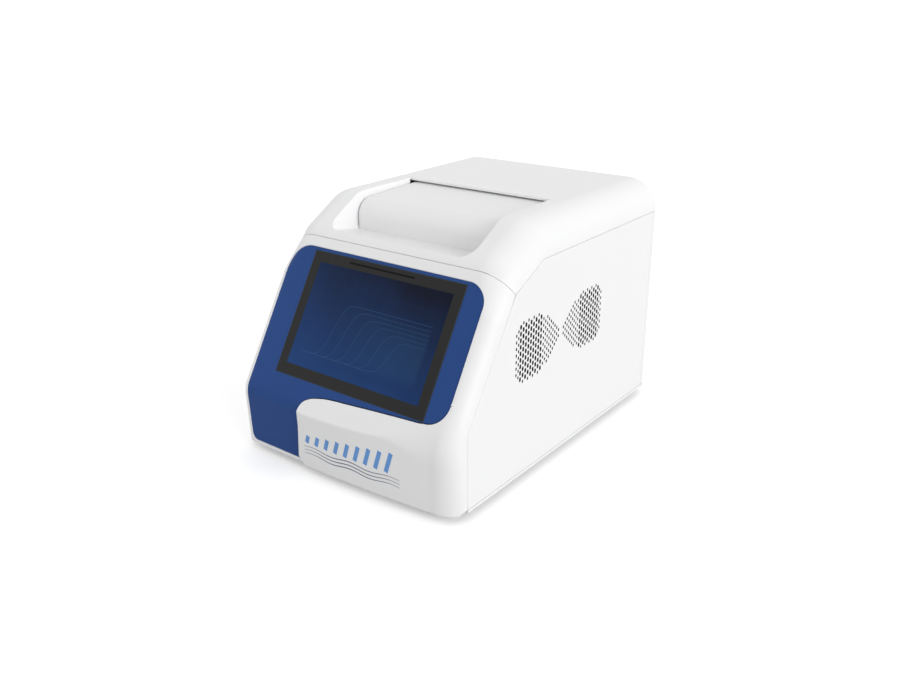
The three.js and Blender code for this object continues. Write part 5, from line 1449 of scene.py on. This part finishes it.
class PCR_OT_sample_bay(bpy.types.Operator):
    """Make the sample block and finish the heated plate and collar"""
    bl_idname = "pcr.sample_bay"
    bl_label = "Sample bay"
    bl_options = {"REGISTER", "UNDO"}

    def execute(self, context):
        bare = stock("machined_aluminium")
        thermal_block().make("thermal_block_wells", "case", [bare], ["thermal_block"], "aluminium")
        dress(["block_collar"], stock("grey_insulation"), 0.4)
        dress(["peltier_module"], stock("white_ceramic"), 0.2)
        dress(["heated_plate"], bare, 0.4)
        dress(["lift_screw"], stock("ground_steel"))
        dress(["lift_motor"], stock("black_moulding"), 0.4)
        return {"FINISHED"}


class PCR_OT_scanner(bpy.types.Operator):
    """Finish the scanning head with its rail, belt and motor"""
    bl_idname = "pcr.scanner"
    bl_label = "Scanner"
    bl_options = {"REGISTER", "UNDO"}

    def execute(self, context):
        dress(["scan_head", "scan_motor"], stock("black_moulding"), 0.4)
        dress(["scan_rail"], stock("ground_steel"), 0.3)
        dress(["scan_belt"], stock("black_rubber"))
        dress(["scan_pulley", "scan_idler"], stock("machined_aluminium"), 0.2)
        return {"FINISHED"}


class PCR_OT_chassis(bpy.types.Operator):
    """Finish the chassis, heat sink, fans and electronics"""
    bl_idname = "pcr.chassis"
    bl_label = "Chassis and electronics"
    bl_options = {"REGISTER", "UNDO"}

    def execute(self, context):
        sheets = ["chassis_deck", "chassis_wall_left", "chassis_wall_right", "power_supply"]
        dress(sheets, stock("plated_sheet"), 0.3)
        dress(["heat_sink"], stock("machined_aluminium"), 0.3)
        for place in ("left_front", "left_rear", "right_front", "right_rear"):
            dress(["fan_frame_" + place, "fan_rotor_" + place], stock("black_moulding"), 0.3)
        dress(["main_board"], stock("green_board"), 0.2)
        return {"FINISHED"}


# Stage


class PCR_OT_studio(bpy.types.Operator):
    """Make the pale floor, the soft lights and the camera"""
    bl_idname = "pcr.studio"
    bl_label = "Studio"
    bl_options = {"REGISTER", "UNDO"}

    def execute(self, context):
        settings = context.scene.pcr_studio
        scene = context.scene
        scene.view_settings.view_transform = "Standard"

        half = settings.floor_size / 2
        corners = [(-half, -half, 0), (half, -half, 0), (half, half, 0), (-half, half, 0)]
        mesh = bpy.data.meshes.new("studio_floor")
        mesh.from_pydata(corners, [], [(0, 1, 2, 3)])
        graph = Graph("studio_floor")
        tint, thrown = tuple(settings.floor), tuple(settings.floor_thrown)
        share = seen_directly(graph.tree)
        shown = graph.blend(graph.spread(graph.noise(2), 0, 1), scaled(tint, 0.995), tint)
        graph.set(Base_Color=graph.blend(share, thrown, shown), Roughness=0.9, Emission_Color=(1, 1, 1),
                  Emission_Strength=graph.times(share, settings.floor_glow))
        mesh.materials.append(graph.material)
        floor = bpy.data.objects.new("studio_floor", mesh)
        scene.collection.objects.link(floor)

        lamp("right_light", settings.right, RIGHT_LAMP, RIGHT_SOFTNESS)
        lamp("rear_light", settings.rear, REAR_LAMP, OTHER_SOFTNESS)
        lamp("left_light", settings.left, LEFT_LAMP, OTHER_SOFTNESS)
        scene.world = white_world(settings.ambient)
        scene.camera = photo_camera()
        return {"FINISHED"}


def white_world(ambient):
    """A world that looks white and lights the scene evenly with another strength."""
    world = bpy.data.worlds.new("studio")
    world.use_nodes = True
    nodes, links = world.node_tree.nodes, world.node_tree.links
    nodes.clear()
    mix, out = nodes.new("ShaderNodeMixShader"), nodes.new("ShaderNodeOutputWorld")
    links.new(seen_directly(world.node_tree), mix.inputs[0])
    for strength, socket in ((ambient, mix.inputs[1]), (1.0, mix.inputs[2])):
        light_source = nodes.new("ShaderNodeBackground")
        light_source.inputs["Color"].default_value = (1, 1, 1, 1)
        light_source.inputs["Strength"].default_value = strength
        links.new(light_source.outputs[0], socket)
    links.new(mix.outputs[0], out.inputs[0])
    return world


def photo_camera():
    """The camera that sees the instrument as the photo does."""
    data = bpy.data.cameras.new("camera")
    data.sensor_width = SENSOR_WIDTH
    data.lens = LENS
    camera = bpy.data.objects.new("camera", data)
    bpy.context.scene.collection.objects.link(camera)
    level = math.cos(ELEVATION)
    back = Vector((math.sin(AZIMUTH) * level, -math.cos(AZIMUTH) * level, math.sin(ELEVATION)))
    right = Vector((math.cos(AZIMUTH), math.sin(AZIMUTH), 0))
    up = back.cross(right)
    right, up = (right * math.cos(ROLL) + up * math.sin(ROLL),
                 up * math.cos(ROLL) - right * math.sin(ROLL))
    turn = Matrix((right, up, back)).transposed().to_4x4()
    camera.matrix_world = Matrix.Translation(CAMERA_PLACE) @ turn
    return camera


def seen_directly(tree):
    """One where a surface is seen by the camera, in metal or through glass, and zero elsewhere."""
    path = tree.nodes.new("ShaderNodeLightPath")
    share = path.outputs["Is Camera Ray"]
    for kind in ("Is Glossy Ray", "Is Transmission Ray"):
        either = tree.nodes.new("ShaderNodeMath")
        either.operation = "MAXIMUM"
        tree.links.new(share, either.inputs[0])
        tree.links.new(path.outputs[kind], either.inputs[1])
        share = either.outputs[0]
    return share


def lamp(name, strength, direction, softness):
    """A soft distant light that shines from a direction, its softness in degrees."""
    data = bpy.data.lights.new(name, "SUN")
    data.energy = strength
    data.angle = math.radians(softness)
    obj = bpy.data.objects.new(name, data)
    bpy.context.scene.collection.objects.link(obj)
    obj.location = Vector(direction) * 3
    obj.rotation_euler = Vector(direction).to_track_quat("Z", "Y").to_euler()


# Add-on


GROUPS = (
    ("pcr_case", CaseSettings), ("pcr_screen", ScreenSettings), ("pcr_vents", VentSettings),
    ("pcr_decal", DecalSettings), ("pcr_studio", StudioSettings),
)
STEPS = (
    PCR_OT_studio, PCR_OT_front_frame, PCR_OT_front_fascia, PCR_OT_touch_screen, PCR_OT_decal,
    PCR_OT_top_cover, PCR_OT_lid, PCR_OT_side_panels, PCR_OT_feet, PCR_OT_rear, PCR_OT_sample_bay,
    PCR_OT_scanner, PCR_OT_chassis,
)


class PCR_PT_panel(bpy.types.Panel):
    """Buttons and settings for the instrument"""
    bl_idname = "PCR_PT_panel"
    bl_label = "Instrument"
    bl_space_type = "VIEW_3D"
    bl_region_type = "UI"
    bl_category = "Instrument"

    def draw(self, context):
        for step in STEPS:
            self.layout.operator(step.bl_idname)
        for name, group in GROUPS:
            settings = getattr(context.scene, name)
            for key in group.__annotations__:
                self.layout.prop(settings, key)


def register():
    for name, group in GROUPS:
        bpy.utils.register_class(group)
        setattr(bpy.types.Scene, name, PointerProperty(type=group))
    for step in STEPS:
        bpy.utils.register_class(step)
    bpy.utils.register_class(PCR_PT_panel)


def unregister():
    bpy.utils.unregister_class(PCR_PT_panel)
    for step in reversed(STEPS):
        bpy.utils.unregister_class(step)
    for name, group in reversed(GROUPS):
        delattr(bpy.types.Scene, name)
        bpy.utils.unregister_class(group)


def main():
    register()
    for step in STEPS:
        getattr(bpy.ops.pcr, step.bl_idname.split(".")[1])()
    bpy.context.view_layer.update()


if __name__ == "__main__":
    main()
